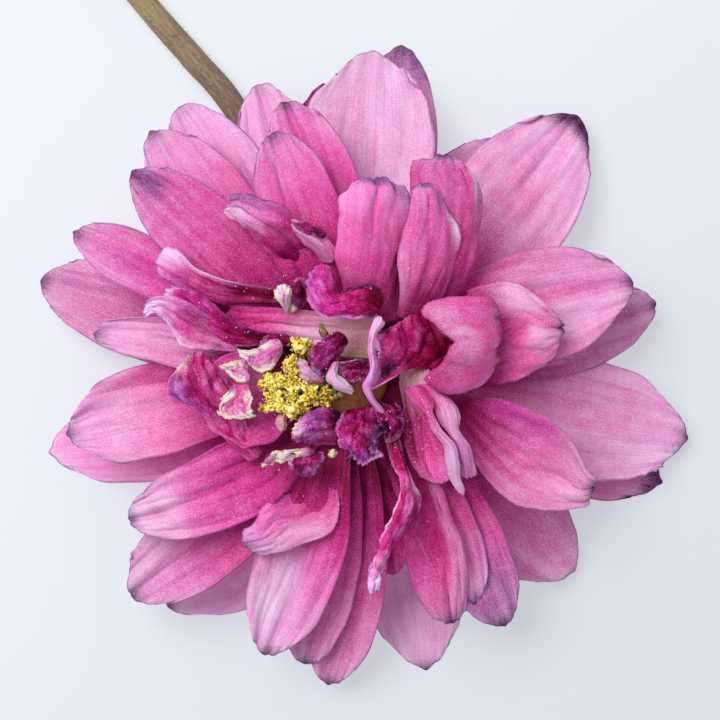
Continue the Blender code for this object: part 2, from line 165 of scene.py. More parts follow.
# What the plain petals share, as in the solids: the claw's width and gutter, the outline either
# side of the widest place, how far the midrib holds its end directions, the rounding of the tip
# and the start of the curl
CLAW_WIDTH = 0.24
CLAW_CUP = 55.0
CLAW_LENGTH = 0.5
WIDENING = 1.2
NARROWING = 2.2
HOLD = 0.36
ROUNDING = 0.45
MOST_ROUNDING = 0.14
CURL_LENGTH = 0.6
CURL_POWER = 1.5
SECTION_STEPS = 12

# The short point in the middle of a tip, its length in mm and its width as a share of the tip,
# and how uneven the end of a petal is
POINT_LENGTH = 0.15
POINT_WIDTH = 0.12
RAGGED_TIP = 0.014
# How wavy and how nicked the margins are, as shares of the width
SWELL = 0.12
NICKS = 0.010

# Folded petals: how far the corners of the tip and the margins draw in, as shares of the net,
# how much the margins vary, and how small nicks grow with the crumple
FOLD_CORNERS = 0.05
FOLD_DRAWN_IN = 0.04
FOLD_SWELL = 0.05
FOLD_NICKS = 0.04
CRUMPLE_NICKS = 2.2

# Faces across and along each petal, and on folded petals smaller than SMALL_PETAL in mm
COLUMNS = 36
ROWS = 56
SMALL_PETAL = 4.5
SMALL_COLUMNS = 28
SMALL_ROWS = 44

# What each point of a blade tells its skin, besides its colour
BLADE_LAYERS = ("along", "across", "rim", "seed", "wrinkled")

# A petal this wide in mm, from midline to edge, has the full height of dents and ruffles
FULL_RELIEF = 3.0
# How far from its edge, in mm, a petal has its full thickness
THIN_MARGIN = 0.9
# Pleats and finer pleats across a petal, and the width of the groove along its middle
PLEATS = 4.6
FINE_PLEATS = 9.3
GROOVE_WIDTH = 0.14
# How high creases stand for each mm of crumple, and how soon a petal counts as wrinkled
CREASE_HEIGHT = 4.5
WRINKLE_RATE = 8.0

# Where along its colours, from claw to tip, a petal has each shade
# The dark red at the claw end is painted shade, where the claws meet deep in the flower
COLOUR_STOPS = (0.0, 0.24, 0.45, 0.68, 0.95, 1.15)
COLOUR_SHADES = ("hollow_shade", "hollow_shade", "deep", "middle", "tip", "pale")
UNDERSIDE_LILAC = 0.40
# How far in mm the dark point of a petal reaches along and across, and the purple grey round it
MARK_LENGTH = 0.60
MARK_WIDTH = 0.65
BRUISE_REACH = 1.1

# How each whorl grows from the receptacle: the height and radius of its ring
Whorl = namedtuple("Whorl", "height radius")

# One plain petal. name tells it apart, tip is its point in mm and width its full width. rise is
# how steeply it leaves the receptacle and dip how steeply it ends, downwards positive. bow turns
# its root to the left of its tip. cup lifts its edges and curl rolls its (left, right) edge
# further. wide is where it is widest and end the width of its tip as a share. tone lightens or
# darkens it, lilac, plum and cream are shares of those colours, mark is how dark its very point
# is, crumple is the height of its creases, and span is the stretch of the colours from claw to
# tip that it runs through. Each of its patches is a spot of another shade: the shade, where its
# middle is along (0 to 1) and across (-1 to 1), how far it reaches both ways, and its share there
Petal = namedtuple(
    "Petal",
    "name tip width rise dip bow cup curl wide end tone lilac plum cream mark crumple span patches",
    defaults=(0, 15, (0, 0), 0.60, 0.58, 0, 0, 0, 0, 0.8, 0, (0, 1.02), ()),
)

# One folded or curled petal, given by its cross-sections from claw to tip. Each section has
# its points in mm from the right edge to the left. The rest is as in Petal
Fold = namedtuple(
    "Fold",
    "name sections tone lilac plum cream mark crumple span patches",
    defaults=(0, 0, 0, 0, 0, 0, (0.15, 0.85), ()),
)

BACK_TEPALS = (
    Petal("s1", (1.0, 24.5, 2.5), 10.2, 5, 20, cup=12, wide=0.65, end=0.60, span=(0.2, 0.98), tone=-0.15,
          lilac=0.9, mark=0),
    Petal("s1b", (3.3, 25.0, -0.6), 7.0, -5, 0, bow=-4, cup=5, lilac=0.3,
          patches=(("bruise_and_shade", 1.0, 0, 0.09, 2.0, 0.9),)),
    Petal("s1c", (-2.9, 22.0, 1.0), 6.5, -5, 5, cup=5, lilac=0.3,
          patches=(("plum", 1.0, 0.5, 0.10, 0.8, 1.0),)),
    Petal("s2", (17.3, 19.3, 1.5), 10.0, 5, 10, bow=-4, cup=10, lilac=0.6,
          patches=(("mark", 1.0, -0.1, 0.045, 0.8, 1.3),)),
    Petal("s2b", (10.6, 17.6, -0.6), 7.0, -5, 0, cup=5, tone=-0.3),
    Petal("s3", (23.4, 4.4, 2.0), 7.5, 0, 15, tone=-0.4, lilac=0.3),
    Petal("s4", (26.0, -6.2, 1.5), 9.5, 5, 10, cup=10, lilac=0.6),
    Petal("s4b", (23.9, -9.7, -1.0), 7.0, -5, 0, cup=5, lilac=0.2,
          patches=(("mark", 1.0, 0, 0.05, 2.0, 1.0),)),
    Petal("s5", (17.0, -16.8, 1.5), 8.4, 0, 10, bow=-3, end=0.70, tone=-0.5, lilac=0.1, mark=0),
    Petal("s6", (5.2, -24.6, -1.2), 8.2, -5, 0, bow=6, cup=5, lilac=0.8),
    Petal("s7", (-15.3, -19.7, -0.6), 9.0, -5, 0, bow=12, cup=5, tone=0.3, lilac=0.8),
    Petal("s8", (-24.6, -7.3, -1.0), 7.4, -5, 0, bow=4, cup=5, tone=0.5, lilac=0.2, mark=0),
    Petal("s9", (-25.3, 6.3, 1.5), 7.3, -5, 5, cup=10, tone=-0.45, lilac=0.35),
    Petal("s10", (-14.3, 20.1, 4.0), 7.0, 5, 15, cup=10, lilac=0.6, mark=0.3),
    Petal("s11", (-8.1, 21.7, 4.0), 7.0, 5, 15, cup=10, lilac=0.5, mark=0.3),
)
OUTER_PETALS = (
    Petal("m1", (-5.9, 20.0, 9.0), 6.6, 20, 15, bow=-10, span=(0, 0.95)),
    Petal("m3", (-16.2, 17.7, 7.0), 7.2, 10, 15, bow=3, lilac=0.15),
    Petal("m5", (-22.2, 9.9, 8.0), 4.6, 10, 5, bow=-4, wide=0.7,
          patches=(("violet", 0.72, 0.1, 0.18, 0.3, 0.6),)),
    Petal("m9", (-20.7, 2.0, 7.5), 4.0, 10, 15, bow=-6, curl=(60, 60), lilac=0.5),
    Petal("m10", (-22.9, -5.8, 5.5), 7.4, 5, 10, bow=-6, wide=0.65, lilac=0.05,
          patches=(("pale", 0.85, 0.1, 0.25, 1.0, 0.45),)),
    Petal("m12", (-17.9, -18.6, 4.5), 7.2, 5, 15, bow=6, end=0.65, tone=-0.35,
          patches=(("pale", 0.92, -0.5, 0.2, 0.8, 0.6),)),
    Petal("m15", (-4.3, -24.0, 4.0), 6.0, 5, 15, span=(0.12, 1.02), tone=-0.2),
    Petal("m16", (-2.5, -25.6, 2.5), 6.4, 0, 15, bow=8, span=(0.08, 1.0), tone=-0.3),
    Petal("m16b", (2.6, -16.8, 5.0), 5.0, 5, 15, span=(0.0, 0.6), tone=-0.3, mark=0),
    Petal("m18b", (8.9, -19.0, 6.5), 5.0, 15, 20, bow=10, tone=-0.2),
    Petal("m19", (11.4, -20.8, 5.5), 6.2, 10, 15, bow=8, end=0.65, tone=-0.2,
          patches=(("bruise_and_shade", 0.92, 0, 0.22, 1.5, 0.55),)),
    Petal("m21", (21.3, 6.0, 6.5), 9.0, 15, 10, bow=6,
          patches=(("pale", 0.75, -0.4, 0.2, 0.5, 0.6), ("pale", 0.7, 0.6, 0.2, 0.3, 0.5),)),
)
MIDDLE_PETALS = (
    Petal("m2", (-6.8, 17.6, 11.0), 6.3, 30, 20, bow=-6, span=(0, 0.9), tone=-0.15),
    Petal("m4", (-17.6, 14.5, 8.5), 6.2, 20, 15, bow=-5, span=(0.1, 0.9), tone=-0.4,
          patches=(("bruise_and_shade", 0.93, -0.1, 0.07, 0.4, 0.8),)),
    Petal("m11", (-18.0, -12.4, 8.0), 6.2, 15, 15, bow=20, wide=0.52, span=(0, 0.95), tone=-0.1,
          patches=(("pale", 0.92, 0, 0.15, 1.0, 0.9), ("violet", 0.88, 0.0, 0.05, 0.3, 0.4),)),
    Petal("m14", (-7.4, -23.0, 6.0), 6.9, 15, 15, bow=4,
          patches=(("pale", 0.82, -0.4, 0.25, 0.8, 0.85),)),
    Fold("m18", (
        ((3.65, -5.35, 10.2), (4.25, -5.5, 10.4), (4.9, -5.65, 10.2)),
        ((3.8, -8.85, 10.5), (4.9, -9.05, 10.7), (6.15, -9.05, 10.8)),
        ((3.7, -12.4, 9.4), (5.9, -12.2, 9.2), (7.3, -11.75, 10.2)),
        ((3.4, -15.5, 8.2), (6.7, -15.2, 8.2), (8.15, -14.6, 9.0)),
        ((4.5, -18.45, 7.4), (6.9, -18.05, 8.0), (8.55, -17.5, 7.8)),
        ((6.25, -20.45, 6.6), (7.2, -20.6, 6.9), (8.3, -20.15, 6.6)),
    ), span=(0.1, 0.9), tone=-0.25, mark=0.9, patches=(
        ("tip", 0.62, 0.6, 0.42, 0.40, 0.9), ("deep", 0.5, -0.3, 0.25, 0.6, 0.6),
    )),
    Fold("m20", (
        ((7.3, -5.0, 10.0), (7.9, -4.0, 10.0), (8.5, -3.1, 10.6)),
        ((9.1, -8.5, 9.6), (10.4, -6.2, 8.8), (10.8, -2.95, 11.4)),
        ((11.6, -11.1, 8.8), (13.2, -8.15, 8.6), (14.3, -4.1, 10.6)),
        ((14.35, -11.8, 8.0), (15.5, -9.15, 8.2), (16.4, -6.05, 9.2)),
        ((16.9, -11.6, 7.2), (17.4, -10.1, 7.8), (17.8, -8.3, 7.8)),
        ((18.05, -11.0, 6.9), (18.4, -9.95, 7.1), (18.35, -9.2, 7.2)),
    ), span=(0.25, 1.0), tone=0.25, lilac=0.4, mark=1.0, patches=(
        ("pale", 0.72, -0.35, 0.16, 0.4, 0.5), ("violet", 0.3, 0.85, 0.25, 0.3, 0.7),
    )),
    Fold("m22", (
        ((9.0, -1.85, 9.4), (8.8, 1.9, 9.4), (8.2, 5.5, 10.4)),
        ((10.8, -2.0, 9.9), (10.9, 1.9, 10.2), (10.1, 6.0, 11.8)),
        ((13.0, -1.3, 10.3), (13.1, 2.3, 11.6), (12.4, 5.8, 12.0)),
        ((14.7, -0.1, 10.3), (14.6, 2.3, 11.4), (14.2, 4.5, 11.4)),
        ((15.3, 1.4, 10.6), (15.8, 2.5, 10.7), (15.3, 3.4, 10.9)),
    ), span=(0.42, 0.95), tone=0.1, mark=0.9, patches=(
        ("pale", 0.5, 0.8, 0.25, 0.4, 0.7), ("pale", 0.62, -0.2, 0.15, 0.4, 0.5),
        ("bruise_and_shade", 1.0, -0.1, 0.07, 0.7, 0.8), ("hollow_shade", 0.1, 0, 0.15, 1.0, 0.6),
    )),
    Fold("m24", (
        ((7.8, 5.2, 10.4), (6.9, 4.6, 10.8), (6.1, 4.6, 10.8), (5.3, 4.3, 10.4)),
        ((9.1, 7.5, 11.4), (7.8, 7.6, 12.4), (6.1, 7.6, 12.6), (4.4, 7.5, 11.8)),
        ((9.45, 10.1, 12.0), (8.1, 10.3, 13.0), (6.1, 10.3, 13.4), (4.05, 10.1, 12.6)),
        ((9.4, 12.7, 12.8), (8.1, 13.1, 13.6), (6.1, 13.1, 13.8), (3.65, 12.7, 12.8)),
        ((8.55, 14.1, 13.0), (7.6, 14.7, 13.6), (5.7, 14.8, 13.8), (3.8, 14.65, 12.8)),
        ((7.5, 15.25, 12.8), (6.7, 15.6, 13.0), (5.9, 15.6, 13.0), (4.1, 15.2, 12.6)),
    ), span=(0.46, 0.80), tone=-0.35, mark=0.6, patches=(
        ("pale", 0.6, -0.85, 0.2, 0.2, 0.8), ("violet", 0.45, -0.95, 0.25, 0.12, 0.6),
        ("bruise_and_shade", 0.98, -0.2, 0.07, 0.9, 0.8),
    )),
)
INNER_PETALS = (
    Fold("m6", (
        ((-1.8, 7.5, 11.4), (-2.75, 7.0, 11.0), (-3.5, 6.7, 10.9), (-4.4, 6.9, 11.0)),
        ((-3.2, 9.15, 13.2), (-4.35, 8.85, 12.6), (-5.35, 8.1, 12.8), (-6.25, 7.5, 12.2)),
        ((-5.35, 10.9, 13.6), (-5.9, 10.4, 14.8), (-6.9, 9.45, 14.2), (-7.9, 9.0, 12.8)),
        ((-7.5, 12.2, 13.6), (-7.8, 11.3, 15.2), (-8.6, 10.5, 14.6), (-9.2, 10.15, 13.2)),
        ((-9.1, 12.75, 13.4), (-9.3, 11.9, 14.8), (-9.8, 11.4, 14.2), (-10.1, 10.85, 13.2)),
        ((-10.1, 12.35, 13.2), (-10.3, 11.8, 13.6), (-10.5, 11.45, 13.4), (-10.6, 11.2, 13.0)),
    ), span=(0.25, 0.9), crumple=0.03, patches=(
        # The purple grey spot along the right edge is painted shade where the rolled edge curves down
        ("bruise_and_shade", 0.85, -0.8, 0.45, 0.45, 0.75), ("pale", 0.8, 0.4, 0.3, 0.6, 0.9),
        ("hollow_shade", 0.12, 0.2, 0.15, 0.8, 0.7),
    )),
    Fold("m6_strip", (
        ((-1.75, 8.4, 13.6), (-2.1, 7.5, 13.4), (-2.9, 7.5, 12.4)),
        ((-2.6, 9.45, 14.4), (-3.2, 8.85, 14.6), (-4.0, 8.85, 13.2)),
        ((-4.1, 10.2, 14.6), (-4.6, 9.9, 14.8), (-5.05, 9.9, 13.8)),
        ((-5.2, 10.75, 14.2), (-5.5, 10.6, 14.4), (-5.7, 10.5, 13.9)),
    ), span=(0.7, 0.8), lilac=0.3),
    Fold("m6_crumple", (
        ((-2.65, 9.75, 14.2), (-2.6, 9.45, 15.0), (-2.9, 9.2, 14.6)),
        ((-3.95, 10.4, 14.4), (-4.05, 10.0, 15.3), (-4.2, 9.6, 14.8)),
        ((-5.1, 10.75, 14.2), (-5.25, 10.5, 14.8), (-5.05, 10.2, 14.6)),
    ), plum=1.2, crumple=0.1),
    Fold("m7", (
        ((-4.6, 5.25, 11.4), (-4.6, 4.75, 11.0), (-4.6, 4.2, 11.2)),
        ((-7.9, 5.7, 12.8), (-7.8, 5.0, 11.9), (-7.6, 4.4, 11.8)),
        ((-10.9, 6.3, 12.8), (-10.8, 5.4, 12.2), (-10.6, 4.3, 11.8)),
        ((-12.7, 7.2, 12.6), (-13.0, 6.3, 12.4), (-12.9, 5.3, 11.6)),
        ((-13.9, 8.5, 12.2), (-14.4, 7.3, 12.4), (-14.6, 5.8, 11.4)),
        ((-15.2, 8.9, 11.4), (-15.7, 7.8, 11.4), (-15.8, 6.7, 10.8)),
    ), span=(0.35, 0.8), crumple=0.03, patches=(
        ("plum", 0.30, -0.9, 0.18, 0.3, 0.7), ("pale", 0.95, -0.5, 0.28, 0.7, 1.0),
        ("pale", 0.7, -1.0, 0.45, 0.18, 1.0), ("violet", 0.72, 0.6, 0.2, 0.4, 0.6),
        ("hollow_shade", 0.15, 0.2, 0.28, 1.0, 1.0),
    )),
    Fold("m8", (
        ((-9.1, 1.7, 12.0), (-9.3, 1.15, 11.8), (-9.45, 0.6, 11.9)),
        ((-11.6, 3.5, 13.6), (-11.75, 2.2, 13.0), (-11.9, 0.75, 13.0)),
        ((-13.2, 4.6, 14.2), (-13.5, 3.0, 13.6), (-13.7, 1.0, 12.4)),
        ((-14.6, 5.0, 14.2), (-14.9, 4.0, 13.8), (-14.7, 2.6, 12.2)),
        ((-16.0, 4.7, 13.4), (-15.9, 4.1, 13.0), (-15.7, 3.6, 12.4)),
        ((-16.8, 4.0, 12.2), (-16.7, 3.6, 12.0), (-16.4, 3.4, 11.8)),
    ), span=(0.4, 0.95), tone=0.5, lilac=0.4, crumple=0.06, patches=(
        ("violet", 0.5, -0.2, 0.25, 0.9, 0.6), ("pale", 0.9, -0.2, 0.32, 1.2, 1.2),
        ("pale", 0.55, 0.9, 0.25, 0.25, 0.7), ("plum", 0.15, -0.5, 0.22, 0.8, 0.8),
    )),
    Fold("m8_back", (
        ((-6.6, 2.0, 11.8), (-6.9, 1.6, 11.4), (-7.3, 1.15, 11.5)),
        ((-8.4, 2.4, 12.8), (-8.9, 1.9, 12.4), (-9.6, 1.0, 12.0)),
        ((-10.2, 3.5, 13.4), (-10.9, 2.6, 13.2), (-11.6, 1.4, 12.0)),
        ((-11.6, 4.7, 13.4), (-12.4, 3.9, 13.4), (-13.2, 2.6, 12.2)),
        ((-13.2, 5.5, 13.0), (-13.9, 4.9, 13.2), (-14.3, 4.2, 12.4)),
        ((-14.9, 5.6, 12.2), (-15.1, 5.2, 12.2), (-15.2, 4.8, 11.9)),
    ), span=(0.3, 0.6), crumple=0.06, patches=(
        ("pale", 0.98, 0, 0.10, 1.5, 0.9), ("plum", 0.35, -0.85, 0.5, 0.35, 1.0),
        ("violet", 0.65, 0.0, 0.25, 0.8, 0.8),
    )),
    Fold("m13", (
        ((-3.2, -9.0, 9.5), (-2.45, -9.75, 9.8), (-1.7, -10.05, 10.4)),
        ((-4.6, -10.05, 9.6), (-3.35, -11.1, 9.2), (-1.55, -11.6, 10.8)),
        ((-6.1, -10.4, 10.2), (-4.6, -11.9, 10.0), (-2.2, -13.35, 10.6)),
        ((-7.4, -11.1, 10.4), (-6.1, -12.5, 10.6), (-4.2, -14.3, 10.4)),
        ((-8.1, -12.5, 10.2), (-7.3, -13.6, 10.8), (-6.4, -14.95, 10.0)),
        ((-9.3, -13.1, 10.0), (-9.0, -14.2, 10.4), (-8.1, -15.2, 9.8)),
    ), span=(0.5, 0.85), mark=0.5, patches=(
        ("pale", 0.7, 0.7, 0.4, 0.5, 0.6), ("hollow_shade", 0.15, -0.3, 0.15, 0.4, 0.6),
        ("lilac", 0.95, 0, 0.12, 1.0, 0.5),
    )),
    Fold("m17", (
        ((1.9, -6.0, 11.6), (2.4, -5.9, 12.0), (3.1, -6.1, 11.4)),
        ((2.35, -7.8, 12.2), (3.0, -7.8, 12.5), (3.6, -8.1, 11.9)),
        ((3.0, -9.45, 12.6), (3.35, -9.3, 13.2), (3.95, -9.6, 12.2)),
        ((2.75, -11.15, 12.0), (3.35, -11.0, 12.8), (4.6, -10.7, 11.4)),
        ((1.85, -12.9, 11.4), (2.7, -12.7, 12.4), (4.2, -12.6, 10.8)),
        ((1.55, -14.2, 11.0), (2.05, -14.2, 11.8), (3.05, -14.0, 10.6)),
        ((1.3, -15.5, 10.8), (1.6, -15.5, 11.4), (2.0, -15.4, 10.6)),
        ((0.85, -16.8, 10.6), (1.2, -16.9, 11.2), (1.75, -16.6, 10.6)),
        ((0.7, -18.0, 10.4), (1.0, -18.1, 10.6), (1.4, -18.0, 10.4)),
    ), span=(0.35, 0.9), tone=0.6, lilac=0.2, crumple=0.10, patches=(
        ("pale", 0.95, 0, 0.15, 1.5, 0.9), ("pale", 0.45, -0.95, 0.3, 0.25, 0.9),
        ("plum", 0.55, 0.7, 0.25, 0.5, 0.9), ("violet", 0.5, 0.2, 0.35, 0.9, 0.3),
    )),
    Fold("m23", (
        ((2.8, -0.9, 10.6), (2.8, 1.1, 9.9), (2.8, 3.05, 10.6)),
        ((6.1, -0.9, 10.2), (6.8, 1.1, 9.8), (5.7, 3.2, 10.4)),
        ((6.0, -1.3, 13.0), (7.4, 1.1, 13.0), (5.6, 3.5, 13.0)),
        ((4.9, -1.7, 14.8), (7.1, 1.15, 15.6), (4.4, 3.65, 14.8)),
        ((6.5, -2.9, 14.4), (8.5, 1.15, 15.5), (5.5, 4.8, 14.8)),
        ((8.55, -2.6, 13.4), (9.9, 1.15, 14.6), (8.0, 5.0, 14.4)),
        ((10.7, -0.6, 11.8), (11.0, 1.4, 12.0), (10.8, 4.9, 13.4)),
    ), span=(0.35, 0.75), patches=(
        # The dark red spots are painted shade in the hollow of the claw and where the tip dives into the slit
        ("hollow_shade", 0.1, 0, 0.40, 2.0, 1.0), ("hollow_shade", 1.0, 0, 0.07, 0.9, 0.8),
        ("pale", 0.62, 0.3, 0.12, 0.8, 0.4),
    )),
    Fold("m25", (
        ((4.95, 3.2, 10.6), (4.05, 3.2, 11.0), (3.35, 3.2, 11.1), (2.8, 3.35, 10.8)),
        ((6.6, 5.0, 12.0), (5.35, 5.35, 13.0), (3.95, 5.5, 13.3), (3.0, 5.5, 12.8)),
        ((7.7, 7.9, 13.0), (6.1, 8.0, 14.1), (4.2, 8.0, 14.6), (2.8, 7.85, 14.0)),
        ((7.55, 10.2, 13.6), (6.1, 10.5, 14.7), (4.6, 10.5, 15.0), (3.2, 10.1, 14.4)),
        ((6.7, 11.6, 14.0), (5.7, 12.3, 15.0), (4.6, 12.35, 15.2), (3.5, 11.8, 14.6)),
        ((5.9, 12.65, 14.2), (5.2, 13.2, 14.4), (4.6, 13.3, 14.4), (3.9, 13.0, 14.2)),
    ), span=(0.48, 0.88), mark=0.3, patches=(
        ("bruise_and_shade", 0.97, 0.2, 0.08, 0.9, 0.9), ("bruise_and_shade", 0.9, -0.7, 0.15, 0.3, 0.5),
        ("pale", 0.6, -0.9, 0.12, 0.2, 0.8), ("tip", 0.32, 0.8, 0.25, 0.4, 0.7),
        ("hollow_shade", 0.05, -0.2, 0.2, 1.0, 0.7),
    )),
    Fold("m26", (
        ((3.05, 3.05, 10.6), (1.5, 2.9, 11.0), (0.15, 3.05, 11.0), (-0.75, 3.35, 10.6)),
        ((3.05, 5.7, 11.2), (1.9, 5.7, 13.0), (0.15, 5.7, 13.4), (-1.5, 5.95, 12.6)),
        ((3.3, 8.4, 12.4), (2.15, 8.4, 14.4), (0.15, 8.4, 15.2), (-2.0, 8.0, 13.6)),
        ((4.5, 10.4, 13.8), (2.0, 10.8, 16.0), (0.15, 11.05, 16.4), (-1.45, 10.9, 14.8)),
        ((4.0, 12.0, 15.0), (2.1, 12.8, 16.4), (0.4, 12.8, 16.6), (-1.4, 12.2, 15.2)),
        ((2.9, 13.2, 15.2), (1.7, 13.9, 15.4), (0.45, 13.9, 15.4), (-0.75, 13.35, 15.0)),
    ), span=(0.46, 0.95), tone=0.5, mark=0.2, patches=(
        # The purple grey at the tip and right edge and the dark red on the right flank are painted shade
        # where the petal bends away into the valley
        ("bruise_and_shade", 0.95, -0.1, 0.09, 0.9, 1.1), ("bruise_and_shade", 0.75, -0.95, 0.22, 0.25, 0.8),
        ("hollow_shade", 0.3, -0.7, 0.25, 0.3, 0.7), ("hollow_shade", 0.05, 0.2, 0.2, 1.0, 0.6),
    )),
    Fold("n1", (
        ((3.35, -2.3, 12.0), (4.25, -2.0, 12.6), (5.2, -2.3, 12.6)),
        ((3.95, -3.2, 12.8), (4.9, -3.05, 13.8), (5.7, -3.35, 13.2)),
        ((5.05, -4.2, 13.4), (5.25, -4.1, 14.0), (5.5, -4.05, 13.4)),
        ((5.35, -5.35, 13.6), (5.65, -5.2, 14.1), (5.95, -5.35, 13.6)),
        ((6.35, -6.5, 13.4), (6.8, -6.55, 14.2), (7.15, -6.65, 13.4)),
        ((6.65, -7.9, 12.8), (7.1, -7.9, 13.6), (7.55, -7.8, 13.0)),
        ((6.95, -9.0, 12.2), (7.35, -9.15, 12.6), (7.65, -8.85, 12.2)),
        ((7.7, -10.3, 11.6), (7.95, -10.4, 11.7), (8.1, -10.2, 11.6)),
    ), span=(0.62, 0.95), patches=(("pale", 0.75, 0, 0.25, 1.5, 0.9),)),
    Fold("n2", (
        ((4.4, -1.85, 11.8), (5.05, -1.85, 12.4), (5.65, -2.0, 12.2)),
        ((5.55, -3.5, 12.4), (6.35, -3.05, 13.8), (7.15, -3.2, 13.0)),
        ((5.95, -4.4, 12.6), (6.85, -4.1, 14.0), (7.8, -4.25, 13.4)),
        ((6.7, -5.65, 12.6), (7.15, -5.5, 13.6), (7.55, -5.35, 13.2)),
        ((7.3, -6.65, 12.4), (7.8, -6.5, 13.4), (8.25, -6.55, 12.8)),
        ((7.6, -7.8, 11.8), (8.1, -7.7, 12.6), (8.7, -7.55, 12.0)),
        ((7.8, -9.25, 11.0), (8.4, -9.1, 11.4), (9.2, -9.1, 11.0)),
    ), span=(0.62, 0.8), patches=(
        ("pale", 0.4, 0.2, 0.25, 1.5, 0.6), ("lilac", 0.75, 0, 0.15, 1.0, 0.6),
    )),
    Fold("m27", (
        ((3.1, -0.6, 11.5), (4.1, -0.5, 11.3), (5.4, -0.6, 11.4)),
        ((3.0, -2.0, 11.8), (4.1, -2.1, 11.4), (5.4, -2.2, 11.8)),
        ((3.4, -3.7, 11.6), (4.2, -3.7, 11.0), (5.2, -3.6, 12.0)),
        ((3.4, -5.0, 11.8), (4.6, -5.0, 11.2), (6.0, -4.9, 12.2)),
        ((3.5, -6.5, 12.0), (5.0, -6.5, 11.2), (6.8, -6.4, 12.2)),
        ((3.9, -7.8, 12.0), (5.4, -7.9, 11.4), (7.3, -7.6, 12.2)),
        ((4.6, -8.9, 11.8), (5.8, -9.1, 11.6), (7.1, -8.9, 12.0)),
        ((5.5, -9.4, 11.6), (6.2, -9.5, 11.6), (6.8, -9.4, 11.7)),
    ), span=(0.25, 0.75), tone=-0.1, patches=(
        ("throat", 0.08, 0.0, 0.22, 1.5, 0.9), ("hollow_shade", 0.5, -0.9, 0.4, 0.5, 0.8),
    )),
)
